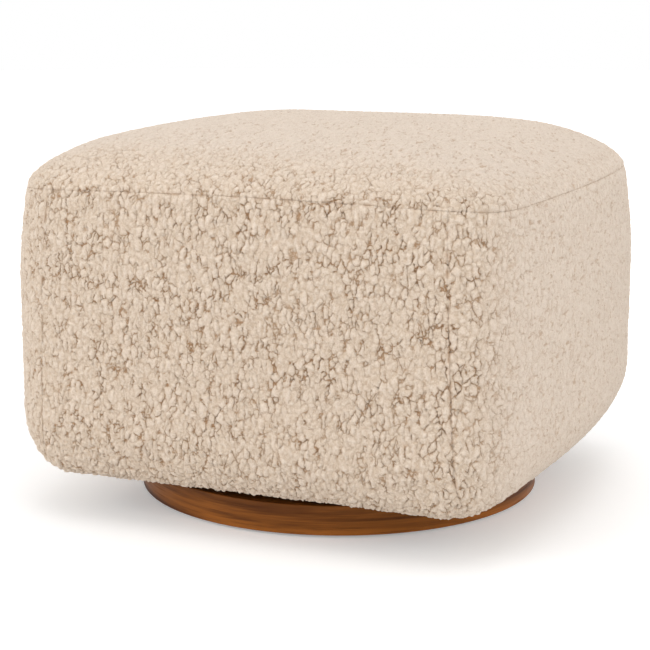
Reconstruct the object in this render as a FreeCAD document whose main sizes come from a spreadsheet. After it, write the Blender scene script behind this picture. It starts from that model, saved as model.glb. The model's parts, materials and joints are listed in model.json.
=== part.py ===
import FreeCAD, Part
import itertools
import math
import os

import Sketcher

# Glider ottoman, in millimetres. The origin is the middle of the plinth on the floor,
# +Z is up, +X is the sitter's right-hand long side and -Y is the front.
# The body hangs on four equal swing links and glides front to back, always level.

doc = FreeCAD.newDocument("glider_ottoman")
sizes = doc.addObject("Spreadsheet::Sheet", "Sizes")
places = doc.addObject("Spreadsheet::Sheet", "Places")
rows = {"Sizes": itertools.count(1), "Places": itertools.count(1)}


def write_cell(sheet, alias, content, note=""):
    row = next(rows[sheet.Name])
    sheet.set(f"A{row}", alias)
    sheet.set(f"B{row}", content)
    sheet.set(f"C{row}", note)
    sheet.setAlias(f"B{row}", alias)


def place(alias, formula, note):
    write_cell(places, alias, "=" + formula, note)


# Driving sizes: each one is set by itself, and everything else follows from them
DRIVING = {
    # The upholstered body
    "body_width": 626,  # widest, over the bowed left and right sides
    "body_depth": 572,  # front face to back face
    "overall_height": 430,  # floor to the top of the crown
    "underside_height": 48,  # floor to the lowest fabric
    "side_bow": 16,  # how far the left and right sides bulge between their corners
    "bottom_bow": 1,  # the same at their lowest line, which the boards hold nearly straight
    "corner_radius": 92,  # upright corners, seen from above
    "crown_rise": 64,  # seam round the top panel to the top of the crown
    "top_seam_inset": 8.6,  # how far the sides lean in at the top seam
    "side_curl": 5,  # lowest line of the left and right sides, in under the boards
    "front_curl": -12,  # lowest line of the front and back, out beyond the boards
    "curl_height": 70,  # how high the sides curl in at the bottom
    "bottom_corner_radius": 18,  # corners of the underside, seen from above
    "crown_edge_share": 0.65,  # share of the crown that rises close to the seam
    "crown_power": 6,  # how late the crown turns down to the seam
    "panel_seam_offset": 236,  # middle of the front to the upright seam near each corner
    "cover_thickness": 10,  # shearling and its backing, pile included
    "flap_reach": 24,  # how far the cover goes in under the boards
    "soft_clearance": 0.3,  # between a soft piece and its neighbour
    "side_foam_thickness": 57,  # left and right foam, at the corners
    "front_foam_thickness": 36,  # front and back foam
    "top_foam_thickness": 66,  # top foam, at the middle of the crown

    # The wooden body frame
    "board_thickness": 15,  # upright boards
    "bottom_board_thickness": 15,  # boards of the underside
    "post_radius": 45,  # quarter-round corner posts
    "deck_thickness": 15,  # board under the top foam
    "cross_rail_height": 40,  # rails that sit on the steel seat rails
    "cross_rail_depth": 30,  # the same, front to back
    "dust_cover_thickness": 1,  # black cloth under the boards
    "dust_strip": 31.5,  # its width beside the opening, left and right

    # The plinth
    "plinth_diameter": 466,  # round wooden plinth
    "plinth_top": 36.5,  # floor to the top of the plinth
    "lower_disc_thickness": 16,  # lower of the two glued discs
    "edge_band_thickness": 3,  # walnut band round the discs
    "edge_band_round": 1.5,  # eased edges of the band
    "glide_thickness": 3,  # pads under the plinth
    "glide_diameter": 30,  # the same
    "glide_circle": 410,  # diameter of the circle that the pads lie on

    # The swing-link mechanism
    "plate_thickness": 3,  # steel plate on the plinth
    "plate_margin": 6,  # plate beyond the tower feet
    "plate_corner": 12,  # corner radius of the plate
    "tower_steel": 4,  # towers and seat rails
    "tower_depth": 170,  # foot of a tower, front to back
    "tower_corner": 25,  # upper corners of a tower
    "tower_head": 20,  # tower above its pivots
    "tower_flange": 40,  # foot flange, beyond the upright
    "foot_bolt_spacing": 62,  # between the three bolts of a foot
    "window_radius": 20,  # lightening holes in a tower
    "upper_window_height": 175,  # middle of the upper lightening hole
    "lower_window_height": 80,  # middle of the lower lightening hole
    "tie_radius": 10,  # tubes between the towers
    "tie_wall": 2,  # wall of those tubes
    "tie_spacing": 110,  # between the two tubes
    "tie_height": 150,  # floor to the tubes
    "pivot_spacing": 120,  # front pivots to back pivots
    "upper_pivot_height": 207,  # floor to the pivots in the towers
    "link_length": 110,  # between the two pivots of a link
    "swing_angle": 24,  # each way, in degrees, where a link meets its bumper
    "link_width": 34,  # swing link
    "link_thickness": 7,  # swing link and its bearings
    "link_gap": 12,  # tower to link
    "rail_gap": 8.5,  # link to seat rail
    "rail_height": 40,  # upright of a seat rail
    "rail_flange": 36,  # top flange of a seat rail
    "rail_clearance": 5,  # boards round the moving mechanism
    "bumper_radius": 10,  # rubber stop between the two links of a side

    # Bearings and fasteners
    "pivot_bolt_radius": 4,  # pivot bolts and foot bolts
    "pivot_bolt_flats": 13,  # across the flats of their heads and nuts
    "pivot_head_height": 5.3,  # their heads
    "pivot_nut_height": 6.5,  # their nuts
    "bolt_overrun": 2,  # bolt end beyond its nut
    "hole_clearance": 0.2,  # round a bolt in plain holes, on the radius
    "fit_clearance": 0.03,  # round a bolt in bearings and nuts, on the radius
    "bearing_radius": 11,  # outside of a pivot bearing
    "inner_race_radius": 6.1,  # outside of its inner race
    "outer_race_bore": 8.9,  # inside of its outer race, as a radius
    "ball_circle_radius": 7.5,  # circle of the balls
    "ball_radius": 1.98,  # one ball
    "ball_clearance": 0.05,  # ball to groove
    "race_stand": 0.5,  # inner race proud of the link, each side
    "spacer_radius": 5.9,  # spacers beside the inner races
    "bumper_screw_radius": 2.5,  # screws of the rubber stops
    "bumper_head_radius": 5,  # their heads
    "bumper_head_height": 3,  # the same
    "rail_screw_radius": 3,  # screws from the seat rails into the cross rails
    "rail_screw_flats": 10,  # across the flats of their heads
    "rail_screw_head": 4,  # height of their heads
    "rail_screw_length": 30,  # length in the wood
    "tee_barrel_radius": 5.4,  # tee nuts in the lower disc
    "tee_barrel_length": 12,  # the same
    "tee_flange_radius": 10,  # flange of a tee nut
    "tee_flange_thickness": 1.5,  # the same
    "tee_recess_depth": 3,  # counterbore under a tee nut
    "ball_count": 7,  # balls in one bearing
    "glide_count": 6,  # pads under the plinth
}
for alias, number in DRIVING.items():
    write_cell(sizes, alias, str(number))

# Places that follow from the driving sizes
place("half_width", "Sizes.body_width / 2", "middle to a bowed side")
place("half_depth", "Sizes.body_depth / 2", "middle to the front face")
place("top_seam_height", "Sizes.overall_height - Sizes.crown_rise", "floor to the top seam")
place("frame_x", "half_width - Sizes.side_bow - Sizes.cover_thickness - Sizes.side_foam_thickness",
      "middle to the outside of a side board")
place("frame_y", "half_depth - Sizes.cover_thickness - Sizes.front_foam_thickness",
      "middle to the outside of the front board")
place("frame_bottom", "Sizes.underside_height + Sizes.cover_thickness + Sizes.soft_clearance",
      "floor to the underside of the boards")
place("deck_top", "Sizes.overall_height - Sizes.cover_thickness - 2 * Sizes.soft_clearance"
      " - Sizes.top_foam_thickness", "floor to the top of the deck")
place("boards_top", "deck_top - Sizes.deck_thickness", "floor to the top of the upright boards")
place("inner_x", "frame_x - Sizes.board_thickness", "middle to the inside of a side board")
place("inner_y", "frame_y - Sizes.board_thickness", "middle to the inside of the front board")
place("curl_x", "Sizes.cover_thickness + Sizes.side_foam_thickness + Sizes.side_curl",
      "how far the left and right sides curl in at the bottom of the corners")
place("curl_y", "Sizes.cover_thickness + Sizes.front_foam_thickness + Sizes.front_curl",
      "how far the front and back curl in at the bottom")
place("flap_x", "half_width - Sizes.side_bow + Sizes.bottom_bow - curl_x - Sizes.flap_reach",
      "middle to the inner edge of the cover's flap")
place("flap_y", "half_depth - curl_y - Sizes.flap_reach", "the same, front to back")
place("disc_radius", "Sizes.plinth_diameter / 2 - Sizes.edge_band_thickness", "wooden discs")
place("disc_split", "Sizes.glide_thickness + Sizes.lower_disc_thickness", "between the discs")
place("plate_top", "Sizes.plinth_top + Sizes.plate_thickness", "floor to the tower feet")
place("flange_top", "plate_top + Sizes.tower_steel", "top of a foot flange")
place("opening_x", "flap_x - Sizes.dust_strip", "edge of the opening in the underside")
place("rail_edge_x", "opening_x - Sizes.rail_clearance", "edge of a seat rail's flange")
place("rail_outer_x", "rail_edge_x - Sizes.rail_flange", "outer face of its upright")
place("rail_x", "rail_outer_x - Sizes.tower_steel", "inner face of a seat rail")
place("link_outer_x", "rail_x - Sizes.rail_gap", "outer face of a link")
place("link_x", "link_outer_x - Sizes.link_thickness", "inner face of a link")
place("tower_x", "link_x - Sizes.link_gap", "outer face of a tower")
place("tower_inner_x", "tower_x - Sizes.tower_steel", "inner face of a tower")
place("tower_top", "Sizes.upper_pivot_height + Sizes.tower_head", "top of a tower")
place("foot_bolt_x", "tower_inner_x - Sizes.tower_flange / 2", "row of foot bolts")
place("pivot_y", "Sizes.pivot_spacing / 2", "middle to the front pivots")
place("lower_pivot_height", "Sizes.upper_pivot_height - Sizes.link_length", "pivots of the rails")
place("race_x", "link_x - Sizes.race_stand", "inner end of an inner race")
place("race_outer_x", "link_outer_x + Sizes.race_stand", "outer end of an inner race")
place("rail_top", "lower_pivot_height + Sizes.rail_height / 2", "top of a seat rail")
place("rail_screw_x", "rail_outer_x + Sizes.rail_flange / 2", "screws of a seat rail")
place("travel", "Sizes.link_length * sin(Sizes.swing_angle * 1 deg)", "glide each way")
place("opening_y", "Sizes.tower_depth / 2 + travel + Sizes.rail_clearance",
      "edge of the opening, front to back")
place("cross_rail_y", "opening_y + Sizes.cross_rail_depth / 2", "middle of a cross rail")
place("rail_half_length", "opening_y + Sizes.cross_rail_depth", "half of a seat rail")
place("post_x", "frame_x - Sizes.post_radius", "middle to a corner post's centre")
place("post_y", "frame_y - Sizes.post_radius", "the same, front to back")
place("bumper_height", "Sizes.upper_pivot_height - (pivot_y * cos(Sizes.swing_angle * 1 deg)"
      " - Sizes.link_width / 2 - Sizes.soft_clearance - Sizes.bumper_radius)"
      " / sin(Sizes.swing_angle * 1 deg)", "where a link at full swing just meets the stop")
doc.recompute()


def known(alias):
    """A size or place as a plain number, for the free-form upholstery."""
    for sheet in (sizes, places):
        if sheet.getCellFromAlias(alias):
            return float(sheet.get(alias))
    raise KeyError(alias)


# Primitive pieces whose sizes and places are bound to the sheets

TURNS = {
    "z": FreeCAD.Rotation(),
    "x": FreeCAD.Rotation(FreeCAD.Vector(0, 1, 0), 90),
}
SIDES = {"left": -1, "right": 1}
ENDS = {"front": -1, "back": 1}


def bind_base(piece, corner):
    for axis, formula in zip("xyz", corner):
        piece.setExpression(f"Placement.Base.{axis}", formula)


def box(name, low, high):
    piece = doc.addObject("Part::Box", name)
    for side, start, end in zip(("Length", "Width", "Height"), low, high):
        piece.setExpression(side, f"({end}) - ({start})")
    bind_base(piece, low)
    return piece


def round_bar(name, radius, start, length, axis="z"):
    piece = doc.addObject("Part::Cylinder", name)
    piece.setExpression("Radius", radius)
    piece.setExpression("Height", length)
    piece.Placement = FreeCAD.Placement(FreeCAD.Vector(), TURNS[axis])
    bind_base(piece, start)
    return piece


def hex_bar(name, flats, start, length, axis="z"):
    piece = doc.addObject("Part::Prism", name)
    piece.Polygon = 6
    piece.setExpression("Circumradius", f"{flats} / sqrt(3)")
    piece.setExpression("Height", length)
    piece.Placement = FreeCAD.Placement(FreeCAD.Vector(), TURNS[axis])
    bind_base(piece, start)
    return piece


def cut(name, base, tool):
    piece = doc.addObject("Part::Cut", name)
    piece.Base = base
    piece.Tool = tool
    return piece


def fuse(name, pieces):
    piece = doc.addObject("Part::MultiFuse", name)
    piece.Shapes = pieces
    piece.Refine = True
    return piece


def gather(name, pieces):
    """Identical pieces, or several holes, as one object of separate solids."""
    piece = doc.addObject("Part::Compound", name)
    piece.Links = pieces
    return piece


def tube(name, outer, inner, start, length, axis="z"):
    solid = round_bar(f"{name}_bar", outer, start, length, axis)
    bore = round_bar(f"{name}_bore", inner, start, length, axis)
    return cut(name, solid, bore)


# Padded and pocketed pieces, each a body with its own sketches

def origin_plane(body, role):
    return next(f for f in body.Origin.OriginFeatures if f.Role == role)


def new_sketch(body, name, role, offset):
    sketch = body.newObject("Sketcher::SketchObject", name)
    sketch.AttachmentSupport = (origin_plane(body, role), [""])
    sketch.MapMode = "FlatFace"
    if offset:
        sketch.setExpression("AttachmentOffset.Base.z", offset)
    return sketch


def pin_point(sketch, geometry, point, formulas, guess):
    """Tie a point of the sketch to the sketch's origin by two bound distances."""
    for kind, formula, start in zip(("DistanceX", "DistanceY"), formulas, guess):
        index = sketch.addConstraint(Sketcher.Constraint(kind, -1, 1, geometry, point, start))
        sketch.setExpression(f"Constraints[{index}]", formula)


def polygon_sketch(body, name, role, points, offset=None):
    """A closed outline of straight sides; each corner is a pair of formulas."""
    sketch = new_sketch(body, name, role, offset)
    count = len(points)
    turn = 2 * math.pi / count
    guess = [FreeCAD.Vector(50 * math.cos(turn * i), 50 * math.sin(turn * i), 0)
             for i in range(count)]
    for i in range(count):
        sketch.addGeometry(Part.LineSegment(guess[i], guess[(i + 1) % count]), False)
    for i in range(count):
        sketch.addConstraint(Sketcher.Constraint("Coincident", i, 2, (i + 1) % count, 1))
    for i, formulas in enumerate(points):
        pin_point(sketch, i, 1, formulas, guess[i])
    return sketch


def rectangle_sketch(body, name, role, x, y, offset=None):
    """A rectangle about the middle of the plane, with the half sizes x and y."""
    corners = [(f"-({x})", f"-({y})"), (x, f"-({y})"), (x, y), (f"-({x})", y)]
    return polygon_sketch(body, name, role, corners, offset)


def circle_sketch(body, name, role, circles, offset=None):
    """Round outlines, each given as the formulas of its middle and its radius."""
    sketch = new_sketch(body, name, role, offset)
    for i, (x, y, radius) in enumerate(circles):
        middle = FreeCAD.Vector(20 * i + 7, 11, 0)
        sketch.addGeometry(Part.Circle(middle, FreeCAD.Vector(0, 0, 1), 5), False)
        pin_point(sketch, i, 3, (x, y), middle)
        index = sketch.addConstraint(Sketcher.Constraint("Radius", i, 5))
        sketch.setExpression(f"Constraints[{index}]", radius)
    return sketch


def pad(body, sketch, length, both_ways=False):
    feature = body.newObject("PartDesign::Pad", f"{sketch.Name}_pad")
    feature.Profile = sketch
    feature.setExpression("Length", length)
    feature.Midplane = both_ways
    return feature


def pocket(body, sketch, depth=None):
    """Cuts right through both ways, or to a depth above the sketch."""
    feature = body.newObject("PartDesign::Pocket", f"{sketch.Name}_pocket")
    feature.Profile = sketch
    if depth is None:
        feature.Type = "ThroughAll"
        feature.Midplane = True
    else:
        feature.setExpression("Length", depth)
        feature.Reversed = True
    return feature


def round_edges(body, base, name, chosen, radius):
    """Fillets the edges of the base feature for which chosen(edge) is true."""
    doc.recompute()
    feature = body.newObject("PartDesign::Fillet", name)
    names = [f"Edge{i}" for i, edge in enumerate(base.Shape.Edges, start=1) if chosen(edge)]
    feature.Base = (base, names)
    feature.setExpression("Radius", radius)
    return feature


def new_body(name):
    return doc.addObject("PartDesign::Body", name)


def runs_along(edge, direction):
    if not isinstance(edge.Curve, Part.Line):
        return False
    return abs(abs(edge.Curve.Direction.dot(direction)) - 1) < 1e-6


# Plinth: two glued discs, a walnut edge band and the pads it stands on

FOOT_BOLTS = [(f"{side} * Places.foot_bolt_x", f"{step} * Sizes.foot_bolt_spacing")
              for side in SIDES.values() for step in (-1, 0, 1)]


def foot_holes(radius):
    return [(x, y, radius) for x, y in FOOT_BOLTS]


def make_disc(name, bottom, top):
    body = new_body(name)
    outline = circle_sketch(body, f"{name}_outline", "XY_Plane",
                            [("0", "0", "Places.disc_radius")], bottom)
    pad(body, outline, f"({top}) - ({bottom})")
    return body


def make_lower_disc():
    bottom = "Sizes.glide_thickness"
    body = make_disc("plinth_lower_disc", bottom, "Places.disc_split")
    barrels = circle_sketch(body, "tee_nut_holes", "XY_Plane",
                            foot_holes("Sizes.tee_barrel_radius + Sizes.hole_clearance"), bottom)
    pocket(body, barrels)
    recesses = circle_sketch(body, "tee_nut_recesses", "XY_Plane",
                             foot_holes("Sizes.tee_flange_radius + Sizes.hole_clearance"), bottom)
    pocket(body, recesses, "Sizes.tee_recess_depth")
    return body


def make_upper_disc():
    body = make_disc("plinth_upper_disc", "Places.disc_split", "Sizes.plinth_top")
    holes = circle_sketch(body, "disc_bolt_holes", "XY_Plane",
                          foot_holes("Sizes.pivot_bolt_radius + Sizes.hole_clearance"))
    pocket(body, holes)
    return body


def make_edge_band():
    body = new_body("plinth_edge_band")
    rings = [("0", "0", "Sizes.plinth_diameter / 2"), ("0", "0", "Places.disc_radius")]
    outline = circle_sketch(body, "band_outline", "XY_Plane", rings, "Sizes.glide_thickness")
    band = pad(body, outline, "Sizes.plinth_top - Sizes.glide_thickness")

    def is_outer(edge):
        rim = isinstance(edge.Curve, Part.Circle)
        return rim and edge.Curve.Radius > known("disc_radius") + 0.1

    round_edges(body, band, "band_rounding", is_outer, "Sizes.edge_band_round")
    return body


def make_floor_glides():
    count = int(known("glide_count"))
    pads = []
    for i in range(count):
        around = f"({i} * 360 deg / Sizes.glide_count)"
        middle = (f"Sizes.glide_circle / 2 * cos{around}", f"Sizes.glide_circle / 2 * sin{around}", "0")
        pads.append(round_bar(f"floor_glide_{i + 1}", "Sizes.glide_diameter / 2", middle,
                              "Sizes.glide_thickness"))
    return gather("floor_glides", pads)


# Mechanism on the plinth: plate, two towers, the tubes between them and the rubber stops

def make_mechanism_plate():
    body = new_body("mechanism_plate")
    outline = rectangle_sketch(body, "plate_outline", "XY_Plane", "Places.tower_x + Sizes.plate_margin",
                               "Sizes.tower_depth / 2 + Sizes.plate_margin", "Sizes.plinth_top")
    plate = pad(body, outline, "Sizes.plate_thickness")
    up = FreeCAD.Vector(0, 0, 1)
    round_edges(body, plate, "plate_rounding", lambda e: runs_along(e, up), "Sizes.plate_corner")
    holes = circle_sketch(body, "plate_bolt_holes", "XY_Plane",
                          foot_holes("Sizes.pivot_bolt_radius + Sizes.hole_clearance"))
    pocket(body, holes)
    return body


def make_tower(name, side):
    """An upright with a foot flange that points to the middle of the plinth."""
    body = new_body(name)
    toe = f"{side} * (Places.tower_inner_x - Sizes.tower_flange)"
    outer = f"{side} * Places.tower_x"
    inner = f"{side} * Places.tower_inner_x"
    outline = polygon_sketch(body, f"{name}_section", "XZ_Plane", [
        (outer, "Places.plate_top"),
        (outer, "Places.tower_top"),
        (inner, "Places.tower_top"),
        (inner, "Places.flange_top"),
        (toe, "Places.flange_top"),
        (toe, "Places.plate_top"),
    ])
    bent = pad(body, outline, "Sizes.tower_depth", both_ways=True)
    across = FreeCAD.Vector(1, 0, 0)

    def is_upper_corner(edge):
        return runs_along(edge, across) and edge.BoundBox.ZMin > known("tower_top") - 0.1

    round_edges(body, bent, f"{name}_rounding", is_upper_corner, "Sizes.tower_corner")
    bolt_hole = "Sizes.pivot_bolt_radius + Sizes.hole_clearance"
    holes = [(f"{end} * Places.pivot_y", "Sizes.upper_pivot_height", bolt_hole)
             for end in ENDS.values()]
    holes.append(("0", "Sizes.upper_window_height", "Sizes.window_radius"))
    holes.append(("0", "Sizes.lower_window_height", "Sizes.window_radius"))
    holes.append(("0", "Places.bumper_height", "Sizes.bumper_screw_radius + Sizes.fit_clearance"))
    pocket(body, circle_sketch(body, f"{name}_holes", "YZ_Plane", holes))
    foot = [(x, y, r) for x, y, r in foot_holes(bolt_hole) if x.startswith(f"{side} ")]
    pocket(body, circle_sketch(body, f"{name}_foot_holes", "XY_Plane", foot))
    return body


def make_tower_ties():
    ties = []
    for end, sign in ENDS.items():
        start = ("-Places.tower_inner_x", f"{sign} * Sizes.tie_spacing / 2", "Sizes.tie_height")
        ties.append(tube(f"{end}_tie", "Sizes.tie_radius", "Sizes.tie_radius - Sizes.tie_wall",
                         start, "2 * Places.tower_inner_x", "x"))
    return gather("tower_ties", ties)


def make_plate_bolts():
    """Foot bolts, with their heads on the flanges and their ends in the tee nuts."""
    bolts = []
    for i, (x, y) in enumerate(FOOT_BOLTS, start=1):
        bottom = "Sizes.glide_thickness + Sizes.tee_recess_depth"
        head = hex_bar(f"foot_bolt_head_{i}", "Sizes.pivot_bolt_flats", (x, y, "Places.flange_top"),
                       "Sizes.pivot_head_height")
        shank = round_bar(f"foot_bolt_shank_{i}", "Sizes.pivot_bolt_radius", (x, y, bottom),
                          f"Places.flange_top - ({bottom})")
        bolts.append(fuse(f"foot_bolt_{i}", [head, shank]))
    return gather("plate_bolts", bolts)


def make_tee_nuts():
    nuts = []
    for i, (x, y) in enumerate(FOOT_BOLTS, start=1):
        seat = "Sizes.glide_thickness + Sizes.tee_recess_depth"
        flange = round_bar(f"tee_flange_{i}", "Sizes.tee_flange_radius",
                           (x, y, f"{seat} - Sizes.tee_flange_thickness"), "Sizes.tee_flange_thickness")
        barrel = round_bar(f"tee_barrel_{i}", "Sizes.tee_barrel_radius", (x, y, seat),
                           "Sizes.tee_barrel_length")
        bore = round_bar(f"tee_bore_{i}", "Sizes.pivot_bolt_radius + Sizes.fit_clearance",
                         (x, y, f"{seat} - Sizes.tee_flange_thickness"),
                         "Sizes.tee_flange_thickness + Sizes.tee_barrel_length")
        nuts.append(cut(f"tee_nut_{i}", fuse(f"tee_blank_{i}", [flange, barrel]), bore))
    return gather("tee_nuts", nuts)


def across(side, near, far):
    """Start and length along X for a piece from near to far, on the given side."""
    start = near if side > 0 else f"-({far})"
    return start, f"({far}) - ({near})"


def make_bumpers():
    stops = []
    screws = []
    for name, side in SIDES.items():
        start, length = across(side, "Places.tower_x", "Places.link_outer_x")
        stops.append(tube(f"{name}_bumper", "Sizes.bumper_radius",
                          "Sizes.bumper_screw_radius + Sizes.fit_clearance",
                          (start, "0", "Places.bumper_height"), length, "x"))
        start, length = across(side, "Places.link_outer_x",
                               "Places.link_outer_x + Sizes.bumper_head_height")
        head = round_bar(f"{name}_bumper_head", "Sizes.bumper_head_radius",
                         (start, "0", "Places.bumper_height"), length, "x")
        start, length = across(side, "Places.tower_inner_x - Sizes.bolt_overrun", "Places.link_outer_x")
        shank = round_bar(f"{name}_bumper_shank", "Sizes.bumper_screw_radius",
                          (start, "0", "Places.bumper_height"), length, "x")
        screws.append(fuse(f"{name}_bumper_screw", [head, shank]))
    return gather("bumpers", stops), gather("bumper_screws", screws)


# Pivots: bolt, nut, spacer and inner race at each end of each link

def make_pivots(level, height, head_near, head_far, spacer_near, spacer_far, nut_near, nut_far,
                shank_near, shank_far):
    """The four pivots of one level, as four groups: bolts, nuts, spacers and inner races."""
    bolts, nuts, spacers, races = [], [], [], []
    for (side_name, side), (end_name, end) in itertools.product(SIDES.items(), ENDS.items()):
        name = f"{level}_{end_name}_{side_name}"
        y = f"{end} * Places.pivot_y"
        start, length = across(side, head_near, head_far)
        head = hex_bar(f"{name}_head", "Sizes.pivot_bolt_flats", (start, y, height), length, "x")
        start, length = across(side, shank_near, shank_far)
        shank = round_bar(f"{name}_shank", "Sizes.pivot_bolt_radius", (start, y, height), length, "x")
        bolts.append(fuse(f"{name}_bolt", [head, shank]))
        bore = "Sizes.pivot_bolt_radius + Sizes.fit_clearance"
        start, length = across(side, nut_near, nut_far)
        blank = hex_bar(f"{name}_nut_blank", "Sizes.pivot_bolt_flats", (start, y, height), length, "x")
        hole = round_bar(f"{name}_nut_bore", bore, (start, y, height), length, "x")
        nuts.append(cut(f"{name}_nut", blank, hole))
        start, length = across(side, spacer_near, spacer_far)
        spacers.append(tube(f"{name}_spacer", "Sizes.spacer_radius", bore, (start, y, height),
                            length, "x"))
        start, length = across(side, "Places.race_x", "Places.race_outer_x")
        ring = tube(f"{name}_race_ring", "Sizes.inner_race_radius", bore, (start, y, height),
                    length, "x")
        races.append(cut(f"{name}_inner_race", ring, ball_groove(f"{name}_inner", side, y, height)))
    return (gather(f"{level}_pivot_bolts", bolts), gather(f"{level}_pivot_nuts", nuts),
            gather(f"{level}_spacers", spacers), gather(f"{level}_inner_races", races))


def ball_groove(name, side, y, height):
    groove = doc.addObject("Part::Torus", f"{name}_groove")
    groove.setExpression("Radius1", "Sizes.ball_circle_radius")
    groove.setExpression("Radius2", "Sizes.ball_radius + Sizes.ball_clearance")
    groove.Placement = FreeCAD.Placement(FreeCAD.Vector(), TURNS["x"])
    middle = f"{side} * (Places.link_x + Places.link_outer_x) / 2"
    bind_base(groove, (middle, y, height))
    return groove


# Swing links: bar, two outer races and their balls

def make_link(name, side, end):
    start, thickness = across(side, "Places.link_x", "Places.link_outer_x")
    y = f"{end} * Places.pivot_y"
    heights = {"upper": "Sizes.upper_pivot_height", "lower": "Places.lower_pivot_height"}
    half = "Sizes.link_width / 2"
    low = (start, f"{y} - {half}", "Places.lower_pivot_height")
    high = (f"{start} + {thickness}", f"{y} + {half}", "Sizes.upper_pivot_height")
    blanks = [box(f"{name}_middle", low, high)]
    bores, races, balls = [], [], []
    for level, height in heights.items():
        middle = (start, y, height)
        blanks.append(round_bar(f"{name}_{level}_end", half, middle, thickness, "x"))
        bores.append(round_bar(f"{name}_{level}_bore", "Sizes.bearing_radius", middle, thickness, "x"))
        ring = tube(f"{name}_{level}_ring", "Sizes.bearing_radius", "Sizes.outer_race_bore", middle,
                    thickness, "x")
        races.append(cut(f"{name}_{level}_outer_race", ring,
                         ball_groove(f"{name}_{level}_outer", side, y, height)))
        balls.extend(make_balls(f"{name}_{level}", side, y, height))
    bar = cut(name, fuse(f"{name}_blank", blanks), gather(f"{name}_bores", bores))
    return bar, gather(f"{name}_outer_races", races), gather(f"{name}_balls", balls)


def make_balls(name, side, y, height):
    balls = []
    for i in range(int(known("ball_count"))):
        around = f"({i} * 360 deg / Sizes.ball_count)"
        ball = doc.addObject("Part::Sphere", f"{name}_ball_{i + 1}")
        ball.setExpression("Radius", "Sizes.ball_radius")
        bind_base(ball, (f"{side} * (Places.link_x + Places.link_outer_x) / 2",
                         f"{y} + Sizes.ball_circle_radius * cos{around}",
                         f"{height} + Sizes.ball_circle_radius * sin{around}"))
        balls.append(ball)
    return balls


# Gliding carriage: steel seat rails and the wooden cross rails on top of them

def make_seat_rail(name, side):
    body = new_body(name)
    inner = f"{side} * Places.rail_x"
    outer = f"{side} * Places.rail_outer_x"
    edge = f"{side} * Places.rail_edge_x"
    bottom = "Places.rail_top - Sizes.rail_height"
    under = "Places.rail_top - Sizes.tower_steel"
    outline = polygon_sketch(body, f"{name}_section", "XZ_Plane", [
        (inner, bottom),
        (inner, "Places.rail_top"),
        (edge, "Places.rail_top"),
        (edge, under),
        (outer, under),
        (outer, bottom),
    ])
    pad(body, outline, "2 * Places.rail_half_length", both_ways=True)
    bolt_hole = "Sizes.pivot_bolt_radius + Sizes.hole_clearance"
    pivots = [(f"{end} * Places.pivot_y", "Places.lower_pivot_height", bolt_hole)
              for end in ENDS.values()]
    pocket(body, circle_sketch(body, f"{name}_pivot_holes", "YZ_Plane", pivots))
    screws = [(x, y, "Sizes.rail_screw_radius + Sizes.hole_clearance")
              for x, y in rail_screw_places() if x.startswith(f"{side} ")]
    pocket(body, circle_sketch(body, f"{name}_screw_holes", "XY_Plane", screws))
    return body


def rail_screw_places():
    steps = (-1, 1)
    return [(f"{side} * Places.rail_screw_x",
             f"{end} * Places.cross_rail_y + {step} * Sizes.cross_rail_depth / 4")
            for side in SIDES.values() for end in ENDS.values() for step in steps]


def make_cross_rail(name, end):
    low_y, high_y = across(end, "Places.opening_y", "Places.rail_half_length")
    low = ("-Places.inner_x", low_y, "Places.rail_top")
    high = ("Places.inner_x", f"{low_y} + {high_y}", "Places.rail_top + Sizes.cross_rail_height")
    places_here = [(x, y) for x, y in rail_screw_places() if y.startswith(f"{end} ")]
    holes = [round_bar(f"{name}_hole_{i}", "Sizes.rail_screw_radius + Sizes.fit_clearance",
                       (x, y, "Places.rail_top"), "Sizes.rail_screw_length + Sizes.bolt_overrun")
             for i, (x, y) in enumerate(places_here, start=1)]
    return cut(name, box(f"{name}_blank", low, high), gather(f"{name}_holes", holes))


def make_rail_screws():
    screws = []
    under = "Places.rail_top - Sizes.tower_steel"
    for i, (x, y) in enumerate(rail_screw_places(), start=1):
        head = hex_bar(f"rail_screw_head_{i}", "Sizes.rail_screw_flats",
                       (x, y, f"{under} - Sizes.rail_screw_head"), "Sizes.rail_screw_head")
        shank = round_bar(f"rail_screw_shank_{i}", "Sizes.rail_screw_radius", (x, y, under),
                          "Sizes.tower_steel + Sizes.rail_screw_length")
        screws.append(fuse(f"rail_screw_{i}", [head, shank]))
    return gather("rail_screws", screws)


# Body frame: upright boards between corner posts, boards of the underside and the deck

def make_upright_board(name, axis, sign):
    """A board of the front or back (axis y) or of the left or right side (axis x)."""
    if axis == "y":
        start, length = across(sign, "Places.inner_y", "Places.frame_y")
        low = ("-Places.post_x", start, "Places.frame_bottom")
        high = ("Places.post_x", f"{start} + {length}", "Places.boards_top")
    else:
        start, length = across(sign, "Places.inner_x", "Places.frame_x")
        low = (start, "-Places.post_y", "Places.frame_bottom")
        high = (f"{start} + {length}", "Places.post_y", "Places.boards_top")
    return box(name, low, high)


def make_corner_posts():
    """Quarter-round posts; each turns its round side to its own corner."""
    posts = []
    for turn, (x, y) in enumerate([(1, 1), (-1, 1), (-1, -1), (1, -1)]):
        post = doc.addObject("Part::Cylinder", f"corner_post_{turn + 1}")
        post.Angle = 90
        post.Placement = FreeCAD.Placement(FreeCAD.Vector(),
                                           FreeCAD.Rotation(FreeCAD.Vector(0, 0, 1), 90 * turn))
        post.setExpression("Radius", "Sizes.post_radius")
        post.setExpression("Height", "Places.boards_top - Places.frame_bottom")
        bind_base(post, (f"{x} * Places.post_x", f"{y} * Places.post_y", "Places.frame_bottom"))
        posts.append(post)
    return gather("corner_posts", posts)


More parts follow.
